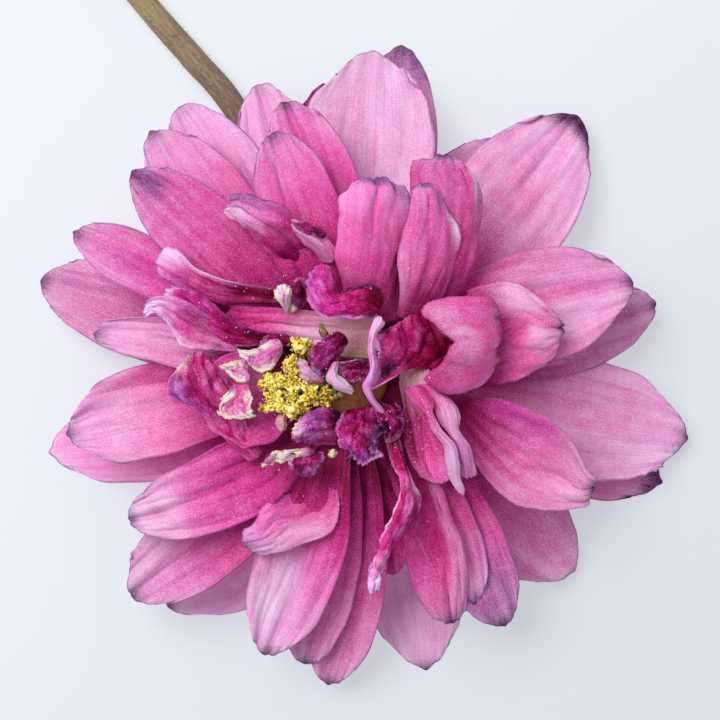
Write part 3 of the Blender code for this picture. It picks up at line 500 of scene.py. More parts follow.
HEART_PETALS = (
    Petal("k1", (-12.3, -3.4, 12.0), 7.5, 5, -15, cup=30, end=0.7, span=(0.32, 0.66), mark=0,
          patches=(("tip", 0.5, -0.5, 0.15, 0.4, 0.5),)),
    Fold("k2", (
        ((1.3, 3.7, 11.8), (1.3, 2.0, 11.4), (1.3, 0.0, 12.0)),
        ((-1.0, 3.7, 12.0), (-1.2, 2.2, 11.5), (-1.6, 0.2, 12.0)),
        ((-3.2, 3.8, 12.1), (-3.4, 2.4, 11.8), (-3.8, 0.8, 11.8)),
        ((-5.7, 4.0, 12.2), (-6.0, 2.7, 12.0), (-6.4, 1.0, 11.5)),
        ((-8.0, 4.1, 11.6), (-8.4, 2.7, 11.6), (-9.2, 0.8, 11.2)),
        ((-10.5, 4.0, 11.0), (-10.8, 2.6, 11.0), (-11.4, 0.8, 10.8)),
    ), span=(0.75, 0.32), tone=0.3, patches=(
        ("throat", 0.0, 0, 0.5, 3.0, 1.0), ("cream", 0.22, 0.0, 0.12, 0.8, 0.35),
        # The olive brown spot at the foot of the throat is partly painted shade
        ("olive_foot_and_shade", 0.02, 0.95, 0.20, 0.65, 0.9), ("pale", 0.42, 0.1, 0.16, 0.7, 0.6),
        ("plum", 0.12, 0.35, 0.08, 0.4, 0.3), ("hollow_shade", 0.78, 1.0, 0.3, 0.3, 0.7),
    )),
    Fold("sprout", (
        ((-2.5, 1.6, 12.8), (-2.7, 1.55, 13.0), (-2.9, 1.6, 12.8)),
        ((-2.35, 2.0, 13.2), (-2.7, 2.05, 13.6), (-3.1, 2.1, 13.2)),
        ((-2.65, 2.4, 13.4), (-2.85, 2.45, 13.6), (-3.1, 2.45, 13.4)),
        ((-3.0, 2.8, 13.4), (-3.05, 2.8, 13.5), (-3.1, 2.8, 13.4)),
    ), tone=-2.0, patches=(("pollen", 0.5, 0, 2.0, 3.0, 1.3),)),
    Fold("bit", (
        ((-6.3, -4.2, 12.6), (-5.95, -4.2, 12.9), (-5.6, -4.3, 12.6)),
        ((-6.5, -4.8, 12.6), (-6.0, -4.85, 13.0), (-5.6, -4.9, 12.6)),
        ((-6.2, -5.4, 12.4), (-5.95, -5.45, 12.6), (-5.7, -5.4, 12.4)),
    ), tone=-0.5, crumple=0.04, patches=(("throat", 0.5, 0, 2.0, 3.0, 1.0),)),
    Fold("crumb_low", (
        ((-1.85, -6.85, 13.6), (-2.05, -6.8, 13.9), (-2.3, -6.95, 13.6)),
        ((-1.8, -7.15, 13.7), (-2.1, -7.2, 14.1), (-2.4, -7.2, 13.7)),
        ((-1.95, -7.4, 13.5), (-2.15, -7.45, 13.7), (-2.35, -7.4, 13.5)),
    ), tone=-0.2, crumple=0.1, patches=(
        ("cream", 0.5, 0, 2.0, 3.0, 1.0), ("pollen", 0.7, 0, 0.5, 3.0, 0.4),
    )),
    Fold("crumb_high", (
        ((-4.85, 4.2, 12.6), (-5.1, 4.25, 12.9), (-5.35, 4.2, 12.6)),
        ((-4.8, 3.95, 12.7), (-5.1, 3.9, 13.1), (-5.45, 3.95, 12.7)),
        ((-4.95, 3.7, 12.5), (-5.1, 3.65, 12.7), (-5.3, 3.7, 12.5)),
    ), tone=-0.2, crumple=0.1, patches=(
        ("cream", 0.5, 0, 2.0, 3.0, 1.0), ("pollen", 0.3, 0, 0.5, 3.0, 0.3),
    )),
    Fold("h1", (
        ((1.85, 4.9, 13.4), (1.55, 4.05, 13.9), (0.9, 3.2, 13.4)),
        ((1.0, 5.8, 14.2), (0.4, 4.65, 15.0), (0.0, 3.05, 14.6)),
        ((-0.6, 5.65, 14.8), (-1.0, 4.6, 15.4), (-1.35, 3.15, 15.2)),
        ((-1.6, 5.4, 15.0), (-2.3, 4.4, 15.8), (-2.6, 3.15, 15.3)),
        ((-2.2, 7.0, 15.4), (-3.2, 5.65, 15.9), (-3.75, 4.05, 15.4)),
        ((-3.45, 7.3, 15.2), (-4.05, 6.4, 15.4), (-4.2, 5.1, 15.2)),
    ), span=(0.4, 0.6), tone=0.6, plum=0.2, crumple=0.08, patches=(
        ("hollow_shade", 0.04, -0.2, 0.18, 1.2, 1.0), ("mark", 0.35, -1.0, 0.4, 0.4, 0.7),
        ("violet", 0.6, 0.2, 0.3, 0.7, 0.6), ("lavender", 0.92, 0.2, 0.20, 1.0, 0.3),
        ("lilac", 0.45, 1.0, 0.4, 0.14, 1.0),
    )),
    Fold("h2", (
        ((-4.25, 4.1, 12.6), (-4.75, 3.95, 12.8), (-5.2, 4.2, 12.6)),
        ((-4.05, 5.25, 13.4), (-4.65, 5.2, 14.2), (-5.35, 5.2, 13.4)),
        ((-4.1, 6.2, 13.4), (-4.65, 6.4, 13.7), (-5.25, 5.95, 13.4)),
    ), plum=1.8, crumple=0.10),
    Fold("h2_white", (
        ((-5.4, 3.75, 13.0), (-5.55, 3.6, 13.1), (-5.7, 3.8, 13.0)),
        ((-5.2, 4.9, 14.0), (-5.8, 4.8, 14.4), (-6.4, 4.8, 13.8)),
        ((-5.25, 5.7, 14.0), (-5.95, 5.8, 14.2), (-6.65, 5.4, 13.8)),
    ), span=(0.5, 0.85), lilac=1.0, cream=0.9, crumple=0.09),
    Fold("h3", (
        ((4.8, -0.4, 11.8), (3.05, -1.0, 13.2), (1.9, -1.75, 14.4), (0.55, -2.4, 15.1)),
        ((6.4, -0.6, 10.6), (4.0, -0.45, 12.3), (2.4, -1.05, 13.8), (0.75, -1.6, 15.4)),
        ((7.4, 0.4, 10.0), (4.6, 0.4, 11.8), (2.8, -0.15, 13.4), (1.0, -0.6, 15.6)),
        ((7.7, 1.25, 9.8), (4.9, 1.15, 11.6), (3.05, 0.75, 13.2), (1.2, 0.45, 15.9)),
        ((7.3, 2.4, 10.0), (4.8, 2.1, 11.6), (2.9, 1.55, 13.1), (1.0, 1.3, 15.6)),
        ((5.9, 3.6, 10.4), (4.1, 3.0, 11.6), (2.75, 2.15, 12.9), (1.1, 1.9, 15.0)),
        ((4.6, 4.0, 10.8), (3.7, 3.4, 11.5), (2.75, 2.75, 12.5), (1.7, 2.4, 14.0)),
    ), span=(0.42, 0.6), tone=0.45, crumple=0.07, patches=(
        # The dark red on the right and the dark mark spots are painted shade, on the face that falls away
        # from the light and in its folds
        ("hollow_shade", 0.5, -1.0, 0.9, 0.9, 1.0), ("mark", 0.26, 0.55, 0.13, 0.25, 1.0),
        ("deep", 0.9, 0.0, 0.25, 0.7, 0.7), ("lilac", 0.5, 1.0, 1.0, 0.16, 0.8),
        ("pale", 0.0, 0.3, 0.045, 0.9, 0.9), ("mark", 0.95, 0.75, 0.10, 0.3, 0.6),
    )),
    Fold("h3_crest", (
        ((2.0, -4.0, 13.8), (1.7, -4.05, 14.3), (1.4, -3.95, 14.0)),
        ((1.2, -3.05, 14.8), (0.95, -3.1, 15.3), (0.65, -3.0, 14.9)),
        ((0.85, -2.2, 15.2), (0.5, -2.1, 15.7), (0.2, -2.0, 15.1)),
        ((1.1, -1.4, 15.5), (0.8, -1.35, 16.0), (0.5, -1.3, 15.4)),
        ((1.3, -0.5, 15.6), (1.02, -0.5, 16.15), (0.75, -0.5, 15.4)),
        ((1.1, 0.5, 15.5), (0.85, 0.55, 16.1), (0.6, 0.6, 15.3)),
        ((1.15, 1.3, 15.3), (0.88, 1.35, 15.9), (0.62, 1.4, 15.2)),
        ((1.35, 2.1, 15.0), (1.1, 2.2, 15.6), (0.8, 2.3, 15.0)),
        ((1.9, 2.75, 14.8), (1.45, 2.9, 15.4), (1.05, 3.0, 14.9)),
        ((1.8, 3.2, 14.7), (1.5, 3.3, 15.0), (1.25, 3.3, 14.8)),
    ), span=(0.8, 0.95), tone=0.5, lilac=0.2, crumple=0.04, patches=(
        ("lavender", 0.35, 0.3, 0.25, 3.0, 0.3), ("pale", 0.95, 0, 0.15, 3.0, 0.9),
    )),
    Fold("h4", (
        ((-1.75, 2.2, 14.2), (-1.2, 1.9, 14.8), (-0.9, 1.35, 13.8)),
        ((-2.8, 1.7, 14.6), (-2.1, 1.15, 15.2), (-1.3, 0.55, 14.2)),
        ((-3.7, 0.9, 14.4), (-2.9, 0.4, 15.1), (-1.9, -0.3, 14.0)),
        ((-4.0, 0.0, 13.9), (-3.35, -0.45, 14.7), (-2.45, -1.05, 13.6)),
        ((-3.7, -0.75, 13.6), (-3.35, -1.05, 14.1), (-2.9, -1.3, 13.4)),
    ), tone=-0.5, plum=1.7, crumple=0.12, patches=(
        # The violet spot near the top is a painted sheen
        ("violet", 0.35, -0.6, 0.25, 0.3, 0.4), ("lavender", 0.92, 0.1, 0.14, 0.6, 0.6),
    )),
    Fold("h4_pale", (
        ((-2.9, -0.9, 13.0), (-2.8, -1.6, 13.2), (-3.35, -1.9, 12.8)),
        ((-3.95, -0.1, 13.6), (-3.9, -0.9, 14.0), (-4.25, -1.6, 13.4)),
        ((-4.8, 0.15, 13.8), (-5.05, -0.4, 13.9), (-4.8, -0.9, 13.6)),
    ), span=(0.5, 0.85), lilac=0.9, cream=0.5, crumple=0.03),
    Fold("h5", (
        ((0.85, -0.1, 12.6), (1.0, -0.75, 12.2), (0.55, -1.5, 12.6)),
        ((-0.4, 0.15, 14.0), (-0.3, -0.7, 13.0), (-0.45, -1.7, 13.8)),
        ((-1.7, -0.1, 14.4), (-1.7, -0.6, 14.0), (-1.3, -1.3, 14.2)),
    # The violet spot near the top is a painted sheen
    ), plum=0.6, crumple=0.13, patches=(("violet", 0.35, -0.6, 0.25, 0.3, 0.6),)),
    Fold("h5_crescent", (
        ((-2.15, -0.3, 14.2), (-1.9, -0.15, 14.7), (-1.6, -0.1, 14.5)),
        ((-2.65, -1.4, 14.0), (-2.15, -1.15, 15.0), (-1.7, -1.0, 14.5)),
        ((-1.9, -2.2, 13.8), (-1.55, -2.0, 14.7), (-1.05, -1.7, 14.3)),
        ((-0.75, -2.5, 13.6), (-0.55, -2.45, 13.9), (-0.45, -2.15, 13.8)),
    ), span=(0.5, 0.85), lilac=1.0, cream=0.4),
    Fold("h6", (
        ((-1.6, -3.8, 12.4), (-1.45, -5.2, 12.0), (-1.9, -6.55, 11.4)),
        ((-2.9, -3.5, 13.4), (-3.05, -4.95, 13.8), (-3.45, -6.6, 12.2)),
        ((-4.1, -4.05, 13.8), (-4.35, -5.2, 14.2), (-4.6, -6.35, 12.6)),
        ((-4.95, -4.9, 13.8), (-5.25, -5.4, 13.8), (-5.35, -6.05, 13.0)),
    ), span=(0.4, 0.7), plum=0.3, crumple=0.08, patches=(
        ("lavender", 0.55, 0, 0.3, 1.5, 0.5), ("mark", 0.05, -0.5, 0.2, 0.6, 0.6),
        # The pale spot and the cream at the end are a painted highlight
        ("pale", 0.80, 0.0, 0.22, 0.7, 1.2), ("cream", 0.95, -0.3, 0.12, 0.7, 0.9),
    )),
    Fold("h7", (
        ((-1.35, -3.9, 12.9), (0.15, -3.75, 12.6), (2.0, -3.5, 12.4)),
        ((-1.9, -5.1, 14.2), (-0.25, -5.05, 14.4), (2.0, -4.9, 13.4)),
        ((-1.75, -6.25, 14.4), (-0.25, -6.2, 14.7), (1.45, -6.2, 14.0)),
        ((-1.05, -7.1, 14.0), (0.0, -7.15, 14.3), (1.45, -6.85, 14.1)),
        ((-0.25, -7.85, 13.6), (0.25, -8.1, 13.8), (2.15, -7.25, 13.9)),
    ), span=(0.35, 0.6), plum=0.4, crumple=0.12, patches=(
        ("violet", 0.45, -0.6, 0.35, 0.5, 0.5), ("lavender", 0.85, -0.3, 0.22, 1.0, 0.45),
        # The dark mark spot is painted shade on the side turned from the light, and the lilac at the end is a
        # painted highlight on the rim
        ("mark", 0.40, 0.95, 0.4, 0.6, 0.9), ("lilac", 1.02, 0, 0.08, 1.5, 0.9),
    )),
    Fold("h7_fold", (
        ((1.2, -3.6, 13.2), (1.9, -3.4, 13.8), (2.7, -3.2, 13.2)),
        ((1.3, -4.6, 13.6), (2.2, -4.4, 14.3), (3.3, -3.9, 13.4)),
        ((1.7, -5.6, 13.2), (2.4, -5.5, 13.8), (3.35, -5.0, 13.2)),
        ((2.0, -6.3, 12.6), (2.4, -6.3, 12.9), (2.9, -6.0, 12.7)),
    ), plum=1.3, crumple=0.16),
    Fold("h8", (
        ((-3.5, -6.9, 12.6), (-3.45, -7.15, 12.8), (-3.6, -7.45, 12.5)),
        ((-4.1, -6.7, 13.3), (-4.1, -7.1, 13.5), (-4.2, -7.5, 13.0)),
        ((-4.7, -7.0, 13.2), (-4.65, -7.2, 13.6), (-4.8, -7.6, 13.0)),
        ((-5.2, -6.8, 13.5), (-5.2, -7.15, 13.4), (-5.4, -7.7, 13.1)),
        ((-5.9, -7.15, 13.2), (-5.8, -7.4, 13.7), (-5.9, -7.85, 13.0)),
        ((-6.4, -6.9, 13.5), (-6.5, -7.3, 13.4), (-6.6, -7.95, 13.0)),
        ((-6.9, -7.4, 13.2), (-7.0, -7.7, 13.5), (-7.1, -8.1, 12.9)),
        ((-7.6, -7.9, 13.0), (-7.7, -8.05, 13.0), (-7.6, -8.3, 12.8)),
    ), span=(0.5, 0.85), lilac=0.6, cream=1.0, crumple=0.12, patches=(
        ("pollen", 0.60, 0.6, 0.08, 0.5, 0.8), ("violet", 0.95, 0.4, 0.15, 0.8, 0.8),
    )),
    Fold("h8_body", (
        ((-5.3, -7.3, 12.6), (-4.2, -7.2, 12.9), (-2.7, -7.0, 12.6)),
        ((-5.4, -7.9, 13.0), (-4.2, -8.0, 13.6), (-2.75, -7.8, 13.0)),
        ((-4.9, -8.6, 12.6), (-4.1, -8.75, 13.0), (-3.0, -8.4, 12.6)),
        ((-4.5, -8.85, 12.2), (-4.1, -9.0, 12.3), (-3.5, -8.8, 12.2)),
    ), plum=1.1, crumple=0.16, patches=(("lavender", 0.7, 0, 0.3, 1.0, 0.3),)),
    Fold("h9", (
        ((-9.6, -1.9, 13.6), (-9.1, -1.9, 13.5), (-8.5, -1.8, 13.8)),
        ((-10.4, -2.7, 13.5), (-9.4, -2.9, 13.5), (-8.2, -2.8, 14.3)),
        ((-11.0, -3.6, 13.3), (-9.8, -3.7, 13.3), (-8.0, -3.8, 14.3)),
        ((-10.7, -4.4, 13.1), (-9.6, -4.6, 13.4), (-7.8, -4.4, 13.9)),
    ), span=(0.62, 0.8), lilac=0.3, cream=1.2, crumple=0.10, patches=(
        ("middle", 0.5, -0.2, 0.25, 0.45, 0.6),
    )),
    Fold("h10", (
        ((-8.8, 0.15, 13.6), (-8.5, -0.7, 13.4), (-8.4, -1.7, 13.7)),
        ((-9.7, -0.1, 13.7), (-9.5, -0.8, 13.4), (-9.2, -1.7, 13.7)),
        ((-11.0, -0.5, 13.3), (-10.4, -0.8, 13.3), (-10.0, -1.2, 13.4)),
    ), span=(0.6, 0.85), lilac=0.6, cream=1.2, crumple=0.12),
    Fold("h11", (
        ((-6.6, 1.9, 13.0), (-6.0, 1.3, 13.6), (-5.9, 0.5, 13.2)),
        ((-7.6, 1.1, 13.8), (-7.0, 0.5, 14.1), (-6.9, -0.8, 13.6)),
        ((-8.6, 0.75, 13.7), (-8.2, 0.2, 13.8), (-7.9, -0.9, 13.3)),
        ((-9.6, 0.9, 13.2), (-9.3, 0.5, 13.4), (-8.9, 0.0, 13.2)),
    ), span=(0.6, 0.85), lilac=0.7, cream=1.0, crumple=0.10, patches=(
        ("pollen", 1.0, 0.0, 0.15, 1.5, 0.9),
    )),
    Fold("h11_edge", (
        ((-4.6, 1.45, 12.4), (-4.65, 1.2, 12.6), (-4.8, 1.0, 12.2)),
        ((-6.25, 2.0, 12.8), (-6.35, 1.6, 13.4), (-6.4, 1.15, 12.8)),
        ((-7.8, 1.35, 12.6), (-7.85, 0.9, 12.9), (-7.8, 0.45, 12.5)),
    ), plum=1.2, crumple=0.10),
    Fold("h12", (
        ((-7.5, -7.0, 10.8), (-7.9, -7.5, 11.0), (-8.55, -7.9, 10.6)),
        ((-8.6, -5.2, 11.6), (-9.5, -5.95, 12.2), (-10.5, -5.9, 11.4)),
        ((-9.3, -3.2, 11.8), (-10.5, -4.0, 13.0), (-12.35, -4.1, 11.8)),
        ((-9.9, -1.7, 12.0), (-11.8, -2.45, 13.4), (-14.4, -2.9, 12.0)),
        ((-11.05, -0.15, 12.4), (-12.5, -0.85, 13.8), (-14.65, -1.75, 12.2)),
        ((-11.75, 0.6, 12.6), (-12.6, 0.85, 13.2), (-13.9, -0.25, 12.8)),
    ), span=(0.5, 0.62), crumple=0.08, patches=(
        ("plum", 0.6, 0.35, 0.4, 0.7, 0.55), ("middle", 0.12, 0.0, 0.25, 1.2, 0.8),
        # The lavender spot is a painted bluish highlight
        ("lavender", 0.66, 0.8, 0.25, 0.35, 0.5), ("cream", 1.0, 0.7, 0.12, 0.4, 0.7),
    )),
)
WHORLS = {
    "back_tepals": (Whorl(height=7.0, radius=2.4), BACK_TEPALS),
    "outer_petals": (Whorl(height=8.2, radius=2.2), OUTER_PETALS),
    "middle_petals": (Whorl(height=9.4, radius=2.0), MIDDLE_PETALS),
    "inner_petals": (Whorl(height=10.4, radius=1.8), INNER_PETALS),
    "heart_petals": (Whorl(height=11.2, radius=1.6), HEART_PETALS),
}


def length_property(name, description, default):
    """A size that a user may change, in metres."""
    return FloatProperty(
        name=name, description=description, default=default, unit="LENGTH", precision=5, min=0.0
    )


def colour_property(name, description, default):
    """A colour that a user may change."""
    return FloatVectorProperty(
        name=name, description=description, default=default, subtype="COLOR", min=0.0, max=1.0
    )


def count_property(name, description, default):
    """A number of things that a user may change."""
    return IntProperty(name=name, description=description, default=default, min=0)


def strength_property(name, description, default):
    """The strength of a light that a user may change."""
    return FloatProperty(name=name, description=description, default=default, min=0.0)


class PetalSettings(bpy.types.PropertyGroup):
    """Sizes and colours of the tepals and petals."""

    thickness: length_property("Thickness", "How thick a petal is along its middle", 0.00026)
    edge_thickness: length_property("Edge thickness", "How thick a petal is at its edge", 0.00009)
    pleat_height: length_property("Pleat height", "How far the lengthwise pleats stand out", 0.00002)
    dent_depth: length_property("Dent depth", "How deep the soft dents are", 0.0005)
    ruffle_height: length_property("Ruffle height", "How far the margin waves up and down", 0.0004)
    throat: colour_property("Throat", "Colour of the claws in the throat", (0.86, 0.42, 0.50))
    deep: colour_property("Deep", "Colour of the lower part of a petal", (0.62, 0.035, 0.25))
    middle: colour_property("Middle", "Colour of the middle of a petal", (0.82, 0.135, 0.44))
    tip: colour_property("Tip", "Colour towards the tip of a petal", (0.85, 0.31, 0.63))
    faded: colour_property("Faded", "Greyer cast at the very end of a petal", (0.68, 0.36, 0.50))
    # Also painted shade in the crumple folds and in some dark spots on the heart petals
    mark: colour_property("Mark", "Colour of the dark point of a petal", (0.05, 0.01, 0.05))
    pale: colour_property("Pale", "Colour of the palest parts of a petal", (0.91, 0.58, 0.85))
    lilac: colour_property("Lilac", "Colour of the undersides", (0.80, 0.42, 0.82))
    # Painted shade: a dark red for the deep hollows, valleys and claws, where shade falls
    hollow_shade: colour_property("Garnet", "Colour of the deep hollows", (0.26, 0.003, 0.05))
    plum: colour_property("Plum", "Colour of the dark petals of the heart", (0.34, 0.012, 0.14))
    violet: colour_property("Violet", "Colour of the purple petals of the heart", (0.60, 0.045, 0.34))
    cream: colour_property("Cream", "Colour of the withered edges in the heart", (0.96, 0.86, 0.72))
    pollen: colour_property("Pollen", "Colour of the yellow stain on a withered tip", (0.80, 0.72, 0.18))
    # Partly the tips' own purple grey, partly painted shade on caps and rolled edges turned from the light
    bruise_and_shade: colour_property("Bruise", "Colour of the purple-grey caps", (0.28, 0.10, 0.28))
    lavender: colour_property("Lavender", "Colour of the bluish folds of the heart", (0.46, 0.22, 0.70))
    # Partly the throat's own olive brown foot, partly painted shade deep in the throat
    olive_foot_and_shade: colour_property("Husk", "Colour of the olive brown foot of the throat", (0.34, 0.21, 0.07))
    edge_line: colour_property("Edge line", "Colour of the thin line round a petal's tip", (0.22, 0.04, 0.28))


class StamenSettings(bpy.types.PropertyGroup):
    """Sizes and colours of the stamens and carpels."""

    anthers: count_property("Anthers", "How many anthers the clump has", 120)
    anther_length: length_property("Anther length", "How long an anther is", 0.00085)
    grains: count_property("Pollen grains", "How many grains lie on the anthers", 350)
    grain_radius: length_property("Grain radius", "How large a grain of pollen is", 0.000055)
    dust: count_property("Dust", "How many grains lie loose on the petals", 450)
    dust_reach: length_property("Dust reach", "How far from the stamens most loose grains lie", 0.008)
    yellow: colour_property("Yellow", "Colour of the anthers and the pollen", (0.96, 0.76, 0.07))
    dust_colour: colour_property("Dust colour", "Colour of the loose grains", (0.98, 0.82, 0.66))
    # The light and shaded pollen are a painted highlight and a painted shade on the anthers
    pollen_highlight: colour_property("Light pollen", "Colour of the anthers' bumps", (1.0, 0.94, 0.50))
    pollen_shade: colour_property("Shaded pollen", "Colour of the anthers' hollows", (0.34, 0.15, 0.02))
    # The filaments' olive brown is partly their own colour, partly painted shade deep in the throat
    filament: colour_property("Filament", "Colour of the stalks of the anthers", (0.42, 0.32, 0.08))
    olive: colour_property("Olive", "Colour of the carpels", (0.33, 0.30, 0.06))


class StemSettings(bpy.types.PropertyGroup):
    """Sizes and colours of the stem."""

    diameter: length_property("Diameter", "How thick the stem is along most of its length", 0.002)
    rib_height: length_property("Rib height", "How far the lengthwise ribs stand out", 0.00005)
    hairs: count_property("Hairs", "How many short hairs the stem has", 1600)
    hair_length: length_property("Hair length", "How long the hairs are", 0.00035)
    green: colour_property("Green", "Colour of the stem towards its cut end", (0.40, 0.30, 0.13))
    brown: colour_property("Brown", "Colour of the stem towards the flower", (0.17, 0.095, 0.07))


class StageSettings(bpy.types.PropertyGroup):
    """The surface, the lights and the camera."""

    surface: colour_property("Surface", "Colour of the surface under the flower", (0.36, 0.375, 0.40))
    surface_glow: strength_property("Surface glow", "Light that comes through the surface", 0.515)
    sky: colour_property("Sky", "Colour of the light from all round", (0.90, 0.94, 1.0))
    sky_strength: strength_property("Sky strength", "Brightness of the light from all round", 0.53)
    sun_strength: strength_property("Sun strength", "Brightness of the main light", 2.45)
    camera_height: length_property("Camera height", "How far the camera is from the flower", 0.300)
    view_width: length_property("View width", "How wide the view is at the flower", 0.056)


def axis_at(height):
    """Middle of the leaning flower at a height above the surface."""
    rise = height - AXIS_FOOT[2]
    x, y = (foot + lean * rise for foot, lean in zip(AXIS_FOOT, AXIS_LEAN))
    return np.array([x, y, height])


def direction(heading, elevation):
    """Unit vector from a heading and an elevation in degrees."""
    h, e = math.radians(heading), math.radians(elevation)
    return np.array([math.cos(h) * math.cos(e), math.sin(h) * math.cos(e), math.sin(e)])


def smooth_step(value, low, high):
    """0 below low and 1 above high, with a soft change between them; low may be the higher."""
    share = np.clip((value - low) / (high - low), 0.0, 1.0)
    return share * share * (3.0 - 2.0 * share)


def field(x, y, z):
    """Smooth unevenness at each point, about -0.4 to 0.4, with swells about one unit wide."""
    points = np.stack(np.broadcast_arrays(x, y, z), axis=-1)
    return FIELD_SHARE * np.sin(points @ FIELD_WAVES + FIELD_PHASES).sum(axis=-1)


def arc_section(side, cup, curl):
    """Across and up, in half-widths, along a section that bends by cup and then by curl."""
    across, up = np.zeros_like(side), np.zeros_like(side)
    for step in range(SECTION_STEPS):
        t = side * (step + 0.5) / SECTION_STEPS
        angle = cup * t + curl * np.clip(2.0 * t - 1.0, 0.0, 1.0) ** CURL_POWER
        across += np.cos(angle) * side / SECTION_STEPS
        up += np.sin(angle) * side / SECTION_STEPS
    return across, up


def half_width(petal, u):
    """Half-width of a petal at u, from its narrow claw to its rounded tip."""
    before = np.clip(u / petal.wide, 0.0, 1.0)
    after = np.clip((u - petal.wide) / (1.0 - petal.wide), 0.0, 1.0)
    rising = CLAW_WIDTH + (1.0 - CLAW_WIDTH) * np.sin(0.5 * math.pi * before) ** WIDENING
    falling = np.sqrt(1.0 - (1.0 - petal.end**2) * after**NARROWING)
    return 0.5 * petal.width * np.where(u < petal.wide, rising, falling)


def midrib(petal, whorl):
    """The four control points of a petal's midrib, and the way that it heads."""
    tip = np.array(petal.tip)
    axis = axis_at(whorl.height)
    ahead = tip - axis
    heading = math.degrees(math.atan2(ahead[1], ahead[0]))
    root = axis + whorl.radius * direction(heading + petal.bow, 0.0)
    hold = HOLD * np.linalg.norm(tip - root)
    near = root + hold * direction(heading + petal.bow, petal.rise)
    far = tip - hold * direction(heading - petal.bow, -petal.dip)
    return (root, near, far, tip), heading


def petal_surface(petal, whorl, seed, u, v):
    """Middle surface of a plain petal: u runs from root to tip, v from -1 (right) to 1 (left)."""
    (root, near, far, tip), heading = midrib(petal, whorl)
    length = np.linalg.norm(tip - root)

    # The tip is rounded by letting the end of the grid fall back towards its sides, and has a
    # short point in its middle
    after = np.clip((u - petal.wide) / (1.0 - petal.wide), 0.0, 1.0)
    fall_back = min(ROUNDING * petal.end * petal.width / length, MOST_ROUNDING)
    point = POINT_LENGTH / length * np.exp(-((v / POINT_WIDTH) ** 2)) * after**6
    s = u - fall_back * (v * after) ** 2 + point
    s = s + RAGGED_TIP * field(1.6 * v, 0.0, seed) * after**2
    s, r = s[..., None], 1.0 - s[..., None]
    rib = r**3 * root + 3 * r**2 * s * near + 3 * r * s**2 * far + s**3 * tip
    along = r**2 * (near - root) + 2 * r * s * (far - near) + s**2 * (tip - far)
    along /= np.linalg.norm(along, axis=-1)[..., None]
    left = direction(heading + 90.0, 0.0)
    left = left - along * (along @ left)[..., None]
    left /= np.linalg.norm(left, axis=-1)[..., None]
    up = np.cross(along, left)

    open_out = np.clip(u / CLAW_LENGTH, 0.0, 1.0)
    cup = np.radians(petal.cup * open_out + CLAW_CUP * (1.0 - open_out))
    curl = np.radians(np.where(v > 0, petal.curl[0], petal.curl[1]))
    curl = curl * np.clip(u / CURL_LENGTH, 0.0, 1.0) ** CURL_POWER
    across, lift = arc_section(np.abs(v), cup, curl)
    half = np.sign(v)
    uneven = SWELL * field(3.0 * u, 2.0 * half, seed) + NICKS * field(14.0 * u, 2.0 * half, seed + 5.0)
    width = half_width(petal, u) * (1.0 + smooth_step(u, 0.2, 0.5) * uneven)
    return rib + left * (half * across * width)[..., None] + up * (lift * width)[..., None]


def spline_weights(share, spans):
    """First of the four points that shape a line at each share of its length, and their weights."""
    place = np.clip(share, 0.0, 1.0) * spans
    first = np.minimum(place.astype(int), spans - 1)
    r = place - first
    weights = (-r + 2 * r**2 - r**3, 2 - 5 * r**2 + 3 * r**3, r + 4 * r**2 - 3 * r**3, -(r**2) + r**3)
    return first, [0.5 * weight for weight in weights]


def fold_surface(fold, seed, u, v):
    """Middle surface of a folded petal, smooth through its cross-sections."""
    net = np.array(fold.sections, float)
    net = np.concatenate([2 * net[:1] - net[1:2], net, 2 * net[-1:] - net[-2:-1]])
    net = np.concatenate([2 * net[:, :1] - net[:, 1:2], net, 2 * net[:, -1:] - net[:, -2:-1]], axis=1)
    # The corners of the tip are rounded and the margins draw in a little here and there
    half = np.sign(v)
    u = u - FOLD_CORNERS * v**2 * smooth_step(u, 0.75, 1.0)
    u = u - fold.crumple * (0.25 + field(7.0 * v, 3.0, seed + 9.0)) * smooth_step(u, 0.6, 1.0)
    nicks = FOLD_NICKS + CRUMPLE_NICKS * fold.crumple
    drawn_in = FOLD_DRAWN_IN + FOLD_SWELL * field(7.0 * u, 2.0 * half, seed)
    drawn_in = drawn_in + nicks * field(22.0 * u, 2.0 * half, seed + 7.0)
    row, along = spline_weights(u, net.shape[0] - 3)
    column, across = spline_weights(0.5 + 0.5 * v * (1.0 - drawn_in), net.shape[1] - 3)
    points = np.zeros((*u.shape, 3))
    for i in range(4):
        for j in range(4):
            points += (along[i] * across[j])[..., None] * net[row + i, column + j]
    return points


def surface_normals(points):
    """Unit normals of a grid of points, from the slopes along its rows and columns."""
    normals = np.cross(np.gradient(points, axis=1), np.gradient(points, axis=0))
    lengths = np.linalg.norm(normals, axis=-1)[..., None]
    return normals / np.maximum(lengths, 1e-9)


def edge_distances(points):
    """Distance in mm of each point of a grid from the sides, the tip and the midline."""
    steps = np.linalg.norm(np.diff(points, axis=1), axis=-1)
    walked = np.concatenate([np.zeros((len(points), 1)), np.cumsum(steps, axis=1)], axis=1)
    whole = walked[:, -1:]
    steps = np.linalg.norm(np.diff(points, axis=0), axis=-1)
    climbed = np.concatenate([np.zeros((1, points.shape[1])), np.cumsum(steps, axis=0)])
    return np.minimum(walked, whole - walked), climbed[-1] - climbed, np.abs(walked - 0.5 * whole)


def crumple_folds(points, seed):
    """Height of the folds of a crumpled petal, about -0.8 to 0.4. They have sharp crests."""
    x, y, z = points[..., 0], points[..., 1], points[..., 2] + seed
    coarse = np.abs(field(0.9 * x, 0.9 * y, 0.9 * z))
    fine = np.abs(field(2.1 * x, 2.1 * y, 2.1 * z))
    return 0.36 - 2.0 * coarse - fine


